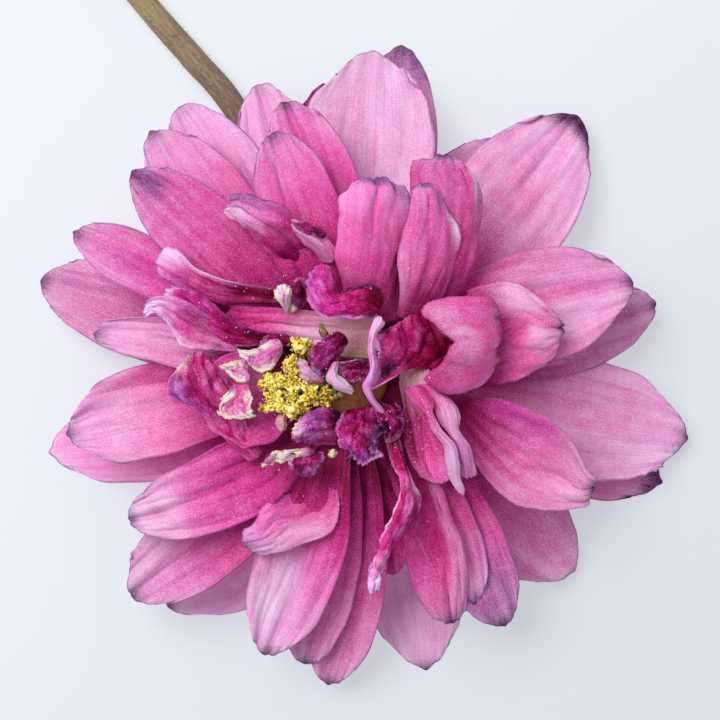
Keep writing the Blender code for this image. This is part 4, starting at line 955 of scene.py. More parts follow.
def relief(petal, settings, seed, folds, u, v):
    """How far the surface of a petal is raised at each point, in mm: pleats, dents and ruffles."""
    body = smooth_step(u, 0.05, 0.35)
    pleats = 0.6 * np.cos(math.pi * PLEATS * v + seed)
    pleats = pleats + 0.4 * np.cos(math.pi * FINE_PLEATS * v + 2.0 * seed)
    pleats = pleats * (1.0 - 0.5 * u**2) * (1.0 - v**4) * (0.7 + field(3.0 * v, 2.0 * u, seed + 2.0))
    pleats = pleats * (1.0 - 0.8 * min(1.0, WRINKLE_RATE * petal.crumple))
    dents = field(1.3 * v, 2.6 * u, seed + 11.0) + 0.4 * field(3.1 * v, 6.0 * u, seed + 17.0)
    groove = -0.5 * np.exp(-((v / GROOVE_WIDTH) ** 2)) * (0.4 + 0.6 * u)
    half = np.sign(v)
    ruffles = field(1.1 * half, 5.5 * u, seed + 23.0) + 0.25 * field(half, 13.0 * u, seed + 29.0)
    height = body * (
        settings.pleat_height * pleats
        + settings.dent_depth * (dents * 2.0 + groove)
        + settings.ruffle_height * 2.0 * ruffles * np.abs(v) ** 3
    ) / MM
    return height + body * petal.crumple * CREASE_HEIGHT * folds


def petal_paint(petal, settings, seed, u, v, distances, folds, is_back):
    """Colour of a petal at each point; is_back tells the underside from the upper side."""
    side, end, middle = distances
    place = petal.span[0] + (petal.span[1] - petal.span[0]) * u
    place = place + 0.25 * field(1.4 * v, 1.3 * u, seed + 31.0)
    channels = zip(*[getattr(settings, shade) for shade in COLOUR_SHADES])
    colour = np.stack([np.interp(place, COLOUR_STOPS, channel) for channel in channels], axis=-1)

    uneven = 0.8 + 0.9 * field(2.2 * v, 3.5 * u, seed + 37.0)
    cast = smooth_step(place, 0.6, 0.9)
    rim = np.minimum(side, end)
    crumple_rim_highlight = smooth_step(rim + 0.6 * field(5.0 * v, 12.0 * u, seed + 47.0), 0.36, 0.04)
    margin = smooth_step(rim + 1.2 * field(3.0 * v, 9.0 * u, seed + 41.0), 0.8, 0.1)
    ragged = 1.0 + 0.8 * field(4.0 * v, 6.0 * u, seed + 43.0)
    # Each shade covers a share of what lies under it
    layers = [
        (settings.pale, petal.lilac * uneven * smooth_step(place, 0.30, 0.60)),
        (settings.lilac, (UNDERSIDE_LILAC if is_back else 0.0) * uneven),
        (settings.plum, petal.plum * uneven),
        (settings.faded, 0.22 * cast * smooth_step(end, 1.6, 0.2)),
        (settings.pale, 0.24 * cast * smooth_step(rim, 1.0, 0.1)),
        # Painted shade: the dark mark colour in the hollows of the crumple folds
        (settings.mark, 5.0 * petal.crumple * smooth_step(folds, 0.0, -0.45)),
        # Painted highlight: lilac along the crumpled rims
        (settings.lilac, 4.0 * petal.crumple * crumple_rim_highlight),
    ]
    for shade, along, across, long, wide, share in petal.patches:
        reach = ((u - along) / long) ** 2 + ((v - across) / wide) ** 2
        layers.append((getattr(settings, shade), share * ragged * np.exp(-(reach**1.5))))
    bruise_and_shade = np.exp(-((end / BRUISE_REACH) ** 2) - (middle / BRUISE_REACH) ** 2)
    mark = np.exp(-((end / MARK_LENGTH) ** 2) - (middle / MARK_WIDTH) ** 2)
    layers += [
        (settings.bruise_and_shade, 0.45 * petal.mark * bruise_and_shade),
        (settings.mark, petal.mark * mark),
        (settings.cream, petal.cream * margin * smooth_step(u, 0.1, 0.3)),
    ]
    for shade, share in layers:
        colour = colour + (np.array(shade) - colour) * np.clip(share, 0.0, 1.0)[..., None]
    return np.clip(colour * (1.0 + 0.3 * petal.tone), 0.0, 1.0)


def add_blade(piece, petal, whorl, settings, seed):
    """Adds one petal to the bmesh of a piece, as a thin closed blade with its own colours."""
    columns, rows = COLUMNS, ROWS
    if isinstance(petal, Fold) and np.ptp(np.array(petal.sections), axis=(0, 1)).max() < SMALL_PETAL:
        columns, rows = SMALL_COLUMNS, SMALL_ROWS
    bm = bmesh.new()
    order, side = bm.verts.layers.int.new("order"), bm.verts.layers.int.new("side")
    bmesh.ops.create_grid(bm, x_segments=columns, y_segments=rows, size=1.0)
    grid = np.array([vertex.co for vertex in bm.verts]).reshape(rows + 1, columns + 1, 3)
    for index, vertex in enumerate(bm.verts):
        vertex[order] = index
    u, v = 0.5 * (grid[..., 1] + 1.0), -grid[..., 0]

    if isinstance(petal, Fold):
        points = fold_surface(petal, seed, u, v)
    else:
        points = petal_surface(petal, whorl, seed, u, v)
    distances = edge_distances(points)
    scale = min(1.0, distances[0].max() / FULL_RELIEF)
    folds = crumple_folds(points, seed)
    raised = relief(petal, settings, seed, folds, u, v)
    points = points + surface_normals(points) * scale * raised[..., None]
    normals = surface_normals(points)
    rim = np.minimum(distances[0], distances[1])
    full = scale * smooth_step(rim, 0.0, THIN_MARGIN)
    thickness = (settings.edge_thickness + (settings.thickness - settings.edge_thickness) * full) / MM
    points[..., 2] = np.maximum(points[..., 2], 0.5 * thickness)
    offset = normals * (0.5 * thickness)[..., None]

    made = bmesh.ops.extrude_face_region(bm, geom=bm.faces[:], use_keep_orig=True)
    for item in made["geom"]:
        if isinstance(item, bmesh.types.BMVert):
            item[side] = 1
    layers = {name: bm.verts.layers.float.new(name) for name in BLADE_LAYERS}
    tint = bm.verts.layers.float_color.new("petal_colour")
    order, side = bm.verts.layers.int["order"], bm.verts.layers.int["side"]
    sides = []
    for is_back in (False, True):
        place = points - offset if is_back else points + offset
        place[..., 2] = np.maximum(place[..., 2], 0.0)
        paint = petal_paint(petal, settings, seed, u, v, distances, folds, is_back)
        sides.append((place.reshape(-1, 3), paint.reshape(-1, 3)))
    u, v, rim = u.ravel(), v.ravel(), rim.ravel()
    for vertex in bm.verts:
        index = vertex[order]
        place, paint = sides[1 - vertex[side]]
        vertex.co = place[index]
        vertex[layers["along"]] = u[index]
        vertex[layers["across"]] = v[index] * scale
        vertex[layers["rim"]] = rim[index]
        vertex[layers["seed"]] = seed
        vertex[layers["wrinkled"]] = min(1.0, WRINKLE_RATE * petal.crumple)
        vertex[tint] = (*paint[index], 1.0)
    bmesh.ops.recalc_face_normals(bm, faces=bm.faces[:])
    if bm.calc_volume(signed=True) < 0.0:
        bmesh.ops.reverse_faces(bm, faces=bm.faces[:])
    mesh = bpy.data.meshes.new("blade")
    bm.to_mesh(mesh)
    bm.free()
    piece.from_mesh(mesh)
    bpy.data.meshes.remove(mesh)


def add_piece(name, bm, material, slot, *nodes):
    """Makes a piece from a bmesh in millimetres; it rides on the root and stands for the nodes."""
    bmesh.ops.translate(bm, vec=Vector(PLACE), verts=bm.verts[:])
    bmesh.ops.scale(bm, vec=Vector((MM, MM, MM)), verts=bm.verts[:])
    for face in bm.faces:
        face.smooth = True
    mesh = bpy.data.meshes.new(name)
    bm.to_mesh(mesh)
    bm.free()
    mesh.materials.append(material)
    piece = bpy.data.objects.new(name, mesh)
    bpy.context.scene.collection.objects.link(piece)
    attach(piece, "root")
    if nodes:
        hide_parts(*nodes)


class Nodes:
    """Adds nodes to one material. An input is a number, a colour or another node's output."""

    def __init__(self, name):
        self.material = bpy.data.materials.new(name)
        self.material.use_nodes = True
        self.tree = self.material.node_tree
        self.shader = self.tree.nodes["Principled BSDF"]
        self.output = self.tree.nodes["Material Output"]

    def feed(self, node, inputs):
        for key, value in inputs.items():
            if isinstance(value, bpy.types.NodeSocket):
                self.tree.links.new(value, node.inputs[key])
            else:
                node.inputs[key].default_value = value

    def add(self, kind, inputs, output=0, **settings):
        made = self.tree.nodes.new("ShaderNode" + kind)
        for key, value in settings.items():
            setattr(made, key, value)
        self.feed(made, inputs)
        return made.outputs[output]

    def attribute(self, name, output="Fac"):
        return self.add("Attribute", {}, output, attribute_name=name)

    def maths(self, operation, first, second=0.0):
        return self.add("Math", {0: first, 1: second}, operation=operation)

    def plus(self, first, second):
        return self.maths("ADD", first, second)

    def minus(self, first, second):
        return self.maths("SUBTRACT", first, second)

    def times(self, first, second):
        return self.maths("MULTIPLY", first, second)

    def mix(self, share, first, second):
        return self.add("Mix", {0: share, 6: first, 7: second}, 2, data_type="RGBA")

    def spread(self, value, low, high, to_low=0.0, to_high=1.0):
        inputs = {0: value, 1: low, 2: high, 3: to_low, 4: to_high}
        return self.add("MapRange", inputs, interpolation_type="SMOOTHSTEP")

    def noise(self, vector, scale, detail=2.0, roughness=0.5):
        """Noise; a scale of three numbers stretches it along the axes."""
        if isinstance(scale, tuple):
            vector, scale = self.add("Mapping", {"Vector": vector, "Scale": scale}), 1.0
        inputs = {"Vector": vector, "Scale": scale, "Detail": detail, "Roughness": roughness}
        return self.add("TexNoise", inputs)

    def object_place(self):
        return self.add("TexCoord", {}, "Object")

    def feed_shader(self, colour, roughness, height, *, gloss, strength, distance):
        """Feeds the shader, with height as a bump; returns the bumped normal."""
        normal = self.add("Bump", {"Height": height, "Strength": strength, "Distance": distance})
        inputs = {"Base Color": colour, "Roughness": roughness, "Specular IOR Level": gloss, "Normal": normal}
        self.feed(self.shader, inputs)
        return normal


def petal_skin(name, settings, edge_share):
    """Velvety petal skin: veins that fan out from the claw, soft blotches and a thin edge line."""
    nodes = Nodes(name)
    along, across, rim, seed, wrinkled = (nodes.attribute(layer) for layer in BLADE_LAYERS)
    fan = nodes.add("CombineXYZ", {0: across, 1: along, 2: seed})
    place = nodes.object_place()
    streaks = nodes.noise(fan, scale=(5.0, 0.6, 1.0), detail=3.0)
    lines = nodes.noise(fan, scale=(18.0, 0.8, 1.0))
    creases = nodes.noise(fan, scale=(7.0, 5.0, 1.0), detail=4.0, roughness=0.6)
    blotches = nodes.noise(place, scale=700.0, detail=4.0, roughness=0.6)
    velvet = nodes.noise(place, scale=8500.0, detail=1.0)

    # More pigment lowers the green and blue most, as a power of the colour does. Painted shade
    # deepens the crease hollows and a painted highlight pales their ridges, more where wrinkled
    deeper = nodes.plus(1.12, nodes.times(wrinkled, 0.55))
    paler = nodes.minus(0.90, nodes.times(wrinkled, 0.18))
    crease_shade = nodes.plus(1.0, nodes.times(wrinkled, 0.45))
    ridge_highlight = nodes.minus(1.0, nodes.times(wrinkled, 0.15))
    pigment = nodes.spread(streaks, 0.3, 0.7, 1.10, 0.90)
    pigment = nodes.times(pigment, nodes.spread(velvet, 0.34, 0.66, 1.24, 0.79))
    pigment = nodes.times(pigment, nodes.spread(blotches, 0.36, 0.64, deeper, paler))
    pigment = nodes.times(pigment, nodes.spread(creases, 0.40, 0.58, crease_shade, ridge_highlight))
    colour = nodes.add("Gamma", {"Color": nodes.attribute("petal_colour", "Color"), "Gamma": pigment})
    veins = nodes.spread(nodes.maths("ABSOLUTE", nodes.minus(lines, 0.5)), 0.0, 0.05, 1.0, 0.0)
    veins = nodes.times(veins, nodes.spread(wrinkled, 0.0, 1.0, 0.20, 0.04))
    colour = nodes.mix(veins, colour, (*settings.violet, 1.0))
    edge = nodes.times(nodes.spread(rim, 0.03, 0.20, 1.0, 0.0), nodes.spread(blotches, 0.35, 0.6, 0.4, 1.0))
    edge = nodes.times(edge, nodes.spread(along, 0.45, 0.9, 0.12, edge_share))
    colour = nodes.mix(edge, colour, (*settings.edge_line, 1.0))

    height = nodes.plus(nodes.times(lines, 0.6), nodes.times(velvet, 0.25))
    height = nodes.plus(height, nodes.times(creases, nodes.plus(0.7, nodes.times(wrinkled, 2.2))))
    rough = nodes.spread(blotches, 0.3, 0.7, 0.46, 0.60)
    normal = nodes.feed_shader(colour, rough, height, gloss=0.10, strength=0.5, distance=0.00012)
    glow = nodes.add("BsdfTranslucent", {"Color": colour, "Normal": normal})
    surface = nodes.add("MixShader", {0: 0.12, 1: nodes.shader.outputs[0], 2: glow})
    nodes.feed(nodes.output, {"Surface": surface})
    return nodes.material


def pollen_skin(name, colour, dark, powder_share=0.5):
    """Powdery pollen, pod or knob: bright lumps with browner hollows between them."""
    nodes = Nodes(name)
    place = nodes.object_place()
    lumps = nodes.noise(place, scale=2600.0, detail=3.0)
    powder = nodes.noise(place, scale=14000.0, detail=1.0)
    tint = nodes.mix(nodes.spread(lumps, 0.40, 0.58), (*dark, 1.0), (*colour, 1.0))
    tint = nodes.mix(nodes.spread(powder, 0.5, 0.75, 0.0, powder_share), tint, (*POWDER_LIGHT, 1.0))
    rough = nodes.spread(powder, 0.3, 0.7, 0.65, 0.9)
    nodes.feed_shader(tint, rough, powder, gloss=0.25, strength=0.6, distance=0.00005)
    return nodes.material


def anther_skin(name, settings):
    """Crumbled anthers: pale yellow painted highlight on bumps, yellow, and brown painted shade in hollows.
    """
    nodes = Nodes(name)
    place = nodes.object_place()
    crumbs = nodes.noise(place, scale=5000.0)
    stain = nodes.spread(nodes.noise(place, scale=600.0), 0.48, 0.62, 0.0, 0.35)
    level = nodes.plus(nodes.attribute("raised"), nodes.times(nodes.minus(crumbs, 0.5), 0.8))
    level = nodes.minus(level, stain)
    shade, yellow, light = (
        (*colour, 1.0) for colour in (settings.pollen_shade, settings.yellow, settings.pollen_highlight)
    )
    # Painted shade and painted highlight follow how far each point of an anther is raised
    tint = nodes.mix(nodes.spread(level, -0.30, 0.08), shade, yellow)
    tint = nodes.mix(nodes.spread(level, 0.12, 0.42, 0.0, 0.8), tint, light)
    rough = nodes.spread(crumbs, 0.3, 0.7, 0.6, 0.9)
    nodes.feed_shader(tint, rough, crumbs, gloss=0.25, strength=0.6, distance=0.00006)
    return nodes.material


def stalk_skin(name, green, brown):
    """Downy stalk: lengthwise fibres, green to brown along its length, with small dark flecks."""
    nodes = Nodes(name)
    along, across = nodes.attribute("along"), nodes.attribute("across")
    place = nodes.object_place()
    fan = nodes.add("CombineXYZ", {0: across, 1: along, 2: 0.0})
    fibres = nodes.noise(fan, scale=(22.0, 26.0, 1.0), detail=3.0)
    flecks = nodes.noise(place, scale=2400.0)
    stain = nodes.noise(place, scale=260.0)
    share = nodes.spread(nodes.plus(along, nodes.times(stain, 0.3)), 0.15, 0.60)
    tint = nodes.mix(share, (*green, 1.0), (*brown, 1.0))
    tint = nodes.mix(nodes.spread(fibres, 0.4, 0.7, 0.0, 0.45), tint, (*STEM_FIBRE, 1.0))
    tint = nodes.mix(nodes.spread(flecks, 0.55, 0.7, 0.0, 0.5), tint, (*STEM_FLECK, 1.0))
    rough = nodes.spread(fibres, 0.3, 0.7, 0.5, 0.72)
    nodes.feed_shader(tint, rough, nodes.plus(fibres, flecks), gloss=0.3, strength=0.5, distance=0.00008)
    return nodes.material


def paper_skin(settings):
    """Matt paper with a faint mottle, lit a little less towards the lower right."""
    nodes = Nodes("matt_paper")
    place = nodes.object_place()
    mottle = nodes.noise(place, scale=60.0, detail=3.0)
    slant = nodes.add("VectorMath", {0: place, 1: LOWER_RIGHT}, "Value", operation="DOT_PRODUCT")
    share = nodes.minus(nodes.spread(slant, -0.03, 0.06), nodes.times(mottle, 0.1))
    dim = [SURFACE_DIM * channel for channel in settings.surface]
    nodes.feed(nodes.shader, {
        "Base Color": nodes.mix(share, (*settings.surface, 1.0), (*dim, 1.0)),
        "Emission Color": (*PAPER_GLOW, 1.0),
        "Emission Strength": settings.surface_glow,
        "Roughness": 0.9,
        "Specular IOR Level": 0.2,
    })
    return nodes.material


def smooth_path(points, steps):
    """Points along a smooth curve through the given ones, a few for each stretch."""
    points = np.array(points, float)
    ends = np.vstack([2 * points[0] - points[1], points, 2 * points[-1] - points[-2]])
    made = []
    for a, b, c, d in zip(ends, ends[1:], ends[2:], ends[3:]):
        for t in np.arange(steps) / steps:
            bent = (2 * a - 5 * b + 4 * c - d) * t**2 + (3 * b - a - 3 * c + d) * t**3
            made.append(0.5 * (2 * b + (c - a) * t + bent))
    made.append(points[-1])
    return np.array(made)


def across_way(way):
    """A vector that lies across a way."""
    return np.cross(way, (0.0, 0.0, 1.0) if abs(way[2]) < 0.9 else (1.0, 0.0, 0.0))


def tube(bm, path, radii, sides, shape=None):
    """Adds a closed tube along a path by extruding a circle ring by ring."""
    made = bmesh.ops.create_circle(bm, segments=sides, radius=1.0, cap_ends=False)
    ring = made["verts"]
    angles = [math.atan2(vertex.co.y, vertex.co.x) for vertex in ring]
    ways = np.gradient(path, axis=0)
    ways /= np.linalg.norm(ways, axis=1)[:, None]
    side = across_way(ways[0])
    rings = []
    edges = list({edge for vertex in ring for edge in vertex.link_edges})
    for index, (middle, way, radius) in enumerate(zip(path, ways, radii)):
        side = side - way * (side @ way)
        side /= np.linalg.norm(side)
        over = np.cross(way, side)
        if index:
            made = bmesh.ops.extrude_edge_only(bm, edges=edges)
            fresh = {item for item in made["geom"] if isinstance(item, bmesh.types.BMVert)}
            below = {}
            for vertex in fresh:
                for edge in vertex.link_edges:
                    other = edge.other_vert(vertex)
                    if other in where:
                        below[where[other]] = vertex
            ring = [below[place] for place in range(sides)]
            edges = [item for item in made["geom"] if isinstance(item, bmesh.types.BMEdge)]
            edges = [edge for edge in edges if fresh.issuperset(edge.verts)]
        where = {vertex: place for place, vertex in enumerate(ring)}
        for vertex, angle in zip(ring, angles):
            reach = radius * (1.0 + (shape(angle, index) if shape else 0.0))
            vertex.co = middle + reach * (math.cos(angle) * side + math.sin(angle) * over)
        rings.append(ring)
    for end in (rings[0], rings[-1]):
        bmesh.ops.contextual_create(bm, geom=end)


def stem_line(settings):
    """The middle line of the stem and its radii, in mm."""
    path = smooth_path(STEM_PATH, STEM_STEPS)
    stops = np.arange(len(STEM_SWELL)) * STEM_STEPS
    return path, 0.5 * settings.diameter / MM * np.interp(np.arange(len(path)), stops, STEM_SWELL)


def add_stalk(settings, rib):
    """The stalk; rib is the height of its ribs as a share of its radius."""
    path, radii = stem_line(settings)

    def ribs(angle, index):
        knobbly = noise.noise(Vector((2.0 * math.cos(angle), 2.0 * math.sin(angle), 0.22 * index)))
        return rib * (math.cos(STEM_RIBS * angle + 0.01 * index) + 0.9 * knobbly - 1.0)

    bm = bmesh.new()
    tube(bm, path, radii, STEM_SIDES, ribs)
    along, across = bm.verts.layers.float.new("along"), bm.verts.layers.float.new("across")
    for index, vertex in enumerate(bm.verts):
        ring, place = divmod(index, STEM_SIDES)
        vertex[along] = ring / (len(path) - 1)
        vertex[across] = abs(2.0 * place / STEM_SIDES - 1.0)
    bmesh.ops.recalc_face_normals(bm, faces=bm.faces[:])
    skin = stalk_skin("downy_stalk", settings.green, settings.brown)
    add_piece("stem_stalk", bm, skin, "stem", "stem")


def add_hairs(settings, rib):
    """The short hairs on the stalk, rooted as deep as the hollows between its ribs."""
    path, radii = stem_line(settings)
    draw = random.Random(STEM_SEED)
    bm = bmesh.new()
    for _ in range(settings.hairs):
        at = draw.uniform(0.0, len(path) - 1.01)
        index = int(at)
        way = path[index + 1] - path[index]
        middle = path[index] + way * (at - index)
        way /= np.linalg.norm(way)
        side = across_way(way)
        side /= np.linalg.norm(side)
        angle = draw.uniform(0.0, math.tau)
        out = math.cos(angle) * side + math.sin(angle) * np.cross(way, side)
        foot = middle + out * radii[index] * (1.0 - 2.0 * rib)
        reach = settings.hair_length / MM * draw.uniform(0.5, 1.0)
        lean = out + HAIR_LEAN * way * draw.uniform(-1.0, 1.0)
        end = foot + reach * lean
        if end[2] < HAIR_CLEARANCE:
            continue
        length = float(np.linalg.norm(end - foot))
        sizes = {"radius1": HAIR_FOOT_RADIUS, "radius2": HAIR_TIP_RADIUS, "depth": length}
        hair = bmesh.ops.create_cone(bm, segments=3, cap_ends=True, **sizes)["verts"]
        turn = Vector(lean).to_track_quat("Z", "Y").to_matrix()
        bmesh.ops.rotate(bm, cent=(0, 0, 0), matrix=turn, verts=hair)
        bmesh.ops.translate(bm, vec=Vector(0.5 * (foot + end)), verts=hair)
    skin = pollen_skin("stem_hair", HAIR, HAIR_HOLLOW)
    add_piece("stem_down", bm, skin, "stem")


def lobe_point(draw, lobe, nearest, farthest):
    """A seeded point on one lobe of the clump; nearest and farthest are shares of its size."""
    depth = draw.uniform(nearest, farthest)
    height = draw.uniform(-0.15, 1.0)
    spread = math.sqrt(1.0 - height * height)
    heading = draw.uniform(0.0, math.tau)
    out = Vector((spread * math.cos(heading), spread * math.sin(heading), height))
    return Vector(lobe[0]) + Vector(lobe[1]) * out * depth


def add_anther(bm, raised, place, size, draw):
    """One crumpled anther, with how far each point stands out kept for its skin."""
    anther = bmesh.ops.create_icosphere(bm, subdivisions=3, radius=0.5)["verts"]
    for vertex in anther:
        vertex.co.x *= 1.0 - 0.35 * math.exp(-((vertex.co.y / 0.12) ** 2))
        coarse = noise.noise(vertex.co * 3.4 + 3.0 * place)
        fine = noise.noise(vertex.co * 8.0 + 5.0 * place)
        rise = coarse + 0.6 * fine
        vertex[raised] = rise
        vertex.co *= 1.0 + rise
    scale = Vector(ANTHER_SHAPE) * size * draw.uniform(SMALLEST_ANTHER, LARGEST_ANTHER)
    bmesh.ops.scale(bm, vec=scale, verts=anther)
    turn = Matrix.Rotation(draw.uniform(0.0, math.tau), 3, "Z")
    turn = turn @ Matrix.Rotation(draw.uniform(-ANTHER_TILT, ANTHER_TILT), 3, "X")
    bmesh.ops.rotate(bm, cent=(0, 0, 0), matrix=turn, verts=anther)
    bmesh.ops.translate(bm, vec=place, verts=anther)


def add_grain(bm, place, radius):
    """One small grain of pollen."""
    grain = bmesh.ops.create_icosphere(bm, subdivisions=1, radius=radius)["verts"]
    bmesh.ops.translate(bm, vec=place, verts=grain)


def add_stamens(settings):
    """The anthers on their short filaments, and the pollen on them."""
    draw = random.Random(STAMEN_SEED)
    anthers, filaments, pollen = bmesh.new(), bmesh.new(), bmesh.new()
    raised = anthers.verts.layers.float.new("raised")
    for lobe in STAMEN_LOBES:
        for _ in range(round(settings.anthers * lobe[2])):
            place = lobe_point(draw, lobe, 0.6, 1.0)
            add_anther(anthers, raised, place, settings.anther_length / MM, draw)
            x, y = (draw.uniform(-FILAMENT_SPREAD, FILAMENT_SPREAD) for _ in range(2))
            foot = Vector(STAMEN_FOOT) + Vector((x, y, -0.3))
            bend = foot.lerp(place, 0.5) + Vector((0.0, 0.0, 0.3))
            path = smooth_path([foot, bend, place], 3)
            tube(filaments, path, [FILAMENT_RADIUS] * len(path), FILAMENT_SIDES)
    for _ in range(settings.grains):
        lobe = draw.choice(STAMEN_LOBES)
        add_grain(pollen, lobe_point(draw, lobe, 1.0, 1.22), settings.grain_radius / MM)
    add_piece("anther_clump", anthers, anther_skin("anther", settings), "anther", "stamens")
    skin = pollen_skin("filament", settings.filament, FILAMENT_HOLLOW, powder_share=0.2)
    add_piece("filaments", filaments, skin, "anther")
    skin = pollen_skin("pollen", settings.yellow, POLLEN_HOLLOW)
    add_piece("pollen_grains", pollen, skin, "anther")


def add_dust(settings):
    """Loose grains of pollen on the upper sides of the petals round the stamens."""
    draw = random.Random(DUST_SEED)
    bm = bmesh.new()
    middle = Vector(STAMEN_FOOT) + Vector(PLACE)
    for name, share in DUSTED.items():
        vertices = bpy.data.objects[name].data.vertices
        left = round(settings.dust * share)
        while left > 0:
            vertex = vertices[draw.randrange(len(vertices))]
            place = vertex.co / MM
            away = (place - middle).xy.length * MM / settings.dust_reach
            if vertex.normal.z < 0.35 or draw.random() > math.exp(-away * away):
                continue
            left -= 1
            radius = settings.grain_radius / MM * draw.uniform(0.4, 1.2)
            add_grain(bm, place - Vector(PLACE), radius)
    skin = pollen_skin("dust", settings.dust_colour, DUST_HOLLOW)
    add_piece("loose_pollen", bm, skin, "anther")


def add_carpels(settings):
    """Slender pods in a ring, with beaks that bend outwards."""
    bm = bmesh.new()
    for index in range(CARPEL_COUNT):
        heading = math.tau * (index + 0.5) / CARPEL_COUNT
        out = Vector((math.cos(heading), math.sin(heading), 0.0))
        foot = Vector(CARPEL_FOOT) + CARPEL_RING * out
        line = [foot + reach * out + Vector((0.0, 0.0, height)) for reach, height in CARPEL_LINE]
        path = smooth_path(line, 6)
        tube(bm, path, np.interp(np.linspace(0.0, 1.0, len(path)), *CARPEL_RADII), CARPEL_SIDES)
    bmesh.ops.recalc_face_normals(bm, faces=bm.faces[:])
    skin = pollen_skin("carpel", settings.olive, CARPEL_HOLLOW)
    add_piece("carpel_pods", bm, skin, "carpel", "carpels")


def add_receptacle():
    """The knob that every claw grows from."""
    bm = bmesh.new()
    points = [bm.verts.new((radius, 0.0, height)) for radius, height in RECEPTACLE_PROFILE]
    edges = [bm.edges.new(pair) for pair in zip(points, points[1:])]
    turn = {"axis": (0, 0, 1), "cent": (0, 0, 0), "angle": math.tau, "steps": RECEPTACLE_SIDES}
    bmesh.ops.spin(bm, geom=points + edges, use_merge=True, **turn)
    bmesh.ops.remove_doubles(bm, verts=bm.verts[:], dist=0.001)
    for vertex in bm.verts:
        x, y, _ = axis_at(vertex.co.z)
        vertex.co.x += x
        vertex.co.y += y
    bmesh.ops.recalc_face_normals(bm, faces=bm.faces[:])
    # Painted shade: the knob is coloured the dark brown of the shade in the throat
    skin = pollen_skin("receptacle", KNOB_IN_SHADE, KNOB_HOLLOW_IN_SHADE, powder_share=0.1)
    add_piece("receptacle", bm, skin, "petal", "petals")


class COLUMBINE_OT_whorl(bpy.types.Operator):
    """Adds one whorl of tepals or petals"""

    bl_idname = "columbine.whorl"
    bl_label = "Whorl of Petals"
    whorl: bpy.props.EnumProperty(
        name="Whorl",
        description="Which whorl to add",
        items=[(name, name.replace("_", " ").title(), "") for name in WHORLS],
        default="back_tepals",
    )

    def execute(self, context):
        settings = context.scene.columbine_petals
        whorl, members = WHORLS[self.whorl]
        skin = petal_skin(self.whorl + "_skin", settings, 0.2 if self.whorl == "heart_petals" else 0.6)
        piece = bmesh.new()
        for name in BLADE_LAYERS:
            piece.verts.layers.float.new(name)
        piece.verts.layers.float_color.new("petal_colour")
        draw = random.Random(self.whorl)
        for petal in members:
            add_blade(piece, petal, whorl, settings, draw.uniform(0.0, 100.0))
        add_piece(self.whorl, piece, skin, "petal", "petals")
        return {"FINISHED"}


class COLUMBINE_OT_receptacle(bpy.types.Operator):
    """Adds the knob that the petals grow from"""

    bl_idname = "columbine.receptacle"
    bl_label = "Receptacle"

    def execute(self, context):
        add_receptacle()
        return {"FINISHED"}


class COLUMBINE_OT_stamens(bpy.types.Operator):
    """Adds the stamens and their pollen"""

    bl_idname = "columbine.stamens"
    bl_label = "Stamens"

    def execute(self, context):
        add_stamens(context.scene.columbine_stamens)
        return {"FINISHED"}


class COLUMBINE_OT_dust(bpy.types.Operator):
    """Scatters loose pollen on the petals, which must be there already"""

    bl_idname = "columbine.dust"
    bl_label = "Loose Pollen"

    def execute(self, context):
        add_dust(context.scene.columbine_stamens)
        return {"FINISHED"}


class COLUMBINE_OT_carpels(bpy.types.Operator):
    """Adds the carpels"""

    bl_idname = "columbine.carpels"
    bl_label = "Carpels"

    def execute(self, context):
        add_carpels(context.scene.columbine_stamens)
        return {"FINISHED"}


class COLUMBINE_OT_stem(bpy.types.Operator):
    """Adds the stem and its hairs"""

    bl_idname = "columbine.stem"
    bl_label = "Stem"

    def execute(self, context):
        settings = context.scene.columbine_stem
        rib = settings.rib_height / (0.5 * settings.diameter)
        add_stalk(settings, rib)
        add_hairs(settings, rib)
        return {"FINISHED"}


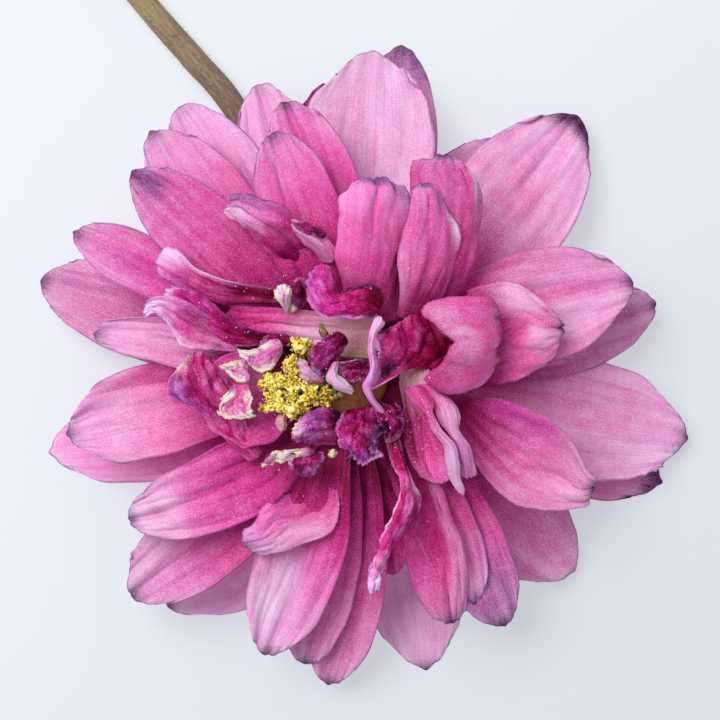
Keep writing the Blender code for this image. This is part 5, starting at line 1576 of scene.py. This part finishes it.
class COLUMBINE_OT_stage(bpy.types.Operator):
    """Adds the surface, the lights and the camera"""

    bl_idname = "columbine.stage"
    bl_label = "Stage"

    def execute(self, context):
        settings = context.scene.columbine_stage
        bm = bmesh.new()
        bmesh.ops.create_grid(bm, x_segments=1, y_segments=1, size=SURFACE_HALF)
        bmesh.ops.translate(bm, vec=(0.0, 0.0, -SURFACE_DROP), verts=bm.verts[:])
        mesh = bpy.data.meshes.new("surface")
        bm.to_mesh(mesh)
        bm.free()
        mesh.materials.append(paper_skin(settings))
        surface = bpy.data.objects.new("surface", mesh)
        context.scene.collection.objects.link(surface)

        sun = bpy.data.lights.new("sun", "SUN")
        sun.energy = settings.sun_strength
        sun.angle = math.radians(SUN_ANGLE)
        lamp = bpy.data.objects.new("sun", sun)
        lamp.rotation_mode = "QUATERNION"
        lamp.rotation_quaternion = Vector(SUN_WAY).to_track_quat("Z", "Y")
        context.scene.collection.objects.link(lamp)

        world = bpy.data.worlds.new("soft_light")
        world.use_nodes = True
        background = world.node_tree.nodes["Background"]
        background.inputs["Color"].default_value = (*settings.sky, 1.0)
        background.inputs["Strength"].default_value = settings.sky_strength
        context.scene.world = world

        camera = bpy.data.cameras.new("camera")
        camera.sensor_width = 36.0
        camera.lens = camera.sensor_width * settings.camera_height / settings.view_width
        camera.clip_start = 0.01
        stand = bpy.data.objects.new("camera", camera)
        height = FLOWER_HEIGHT * MM + settings.camera_height
        stand.location = (PLACE[0] * MM, PLACE[1] * MM, height)
        context.scene.collection.objects.link(stand)
        context.scene.camera = stand
        context.scene.view_settings.view_transform = "Standard"
        return {"FINISHED"}


class COLUMBINE_PT_panel(bpy.types.Panel):
    """Lists the pieces of the blossom"""

    bl_label = "Columbine"
    bl_idname = "COLUMBINE_PT_panel"
    bl_space_type = "VIEW_3D"
    bl_region_type = "UI"
    bl_category = "Columbine"

    def draw(self, context):
        layout = self.layout
        for name in WHORLS:
            text = name.replace("_", " ").title()
            layout.operator("columbine.whorl", text=text).whorl = name
        for name in ("receptacle", "stamens", "dust", "carpels", "stem", "stage"):
            layout.operator("columbine." + name)
        for name in SETTINGS:
            settings = getattr(context.scene, name)
            box = layout.box()
            for item in settings.bl_rna.properties:
                if item.identifier not in ("name", "rna_type"):
                    box.prop(settings, item.identifier)


SETTINGS = {
    "columbine_petals": PetalSettings,
    "columbine_stamens": StamenSettings,
    "columbine_stem": StemSettings,
    "columbine_stage": StageSettings,
}
CLASSES = (
    *SETTINGS.values(),
    COLUMBINE_OT_whorl,
    COLUMBINE_OT_receptacle,
    COLUMBINE_OT_stamens,
    COLUMBINE_OT_dust,
    COLUMBINE_OT_carpels,
    COLUMBINE_OT_stem,
    COLUMBINE_OT_stage,
    COLUMBINE_PT_panel,
)


def register():
    for item in CLASSES:
        bpy.utils.register_class(item)
    for name, settings in SETTINGS.items():
        setattr(bpy.types.Scene, name, PointerProperty(type=settings))


def unregister():
    for name in SETTINGS:
        delattr(bpy.types.Scene, name)
    for item in reversed(CLASSES):
        bpy.utils.unregister_class(item)


def main():
    register()
    for name in WHORLS:
        bpy.ops.columbine.whorl(whorl=name)
    bpy.ops.columbine.receptacle()
    bpy.ops.columbine.stamens()
    bpy.ops.columbine.dust()
    bpy.ops.columbine.carpels()
    bpy.ops.columbine.stem()
    bpy.ops.columbine.stage()


if __name__ == "__main__":
    main()
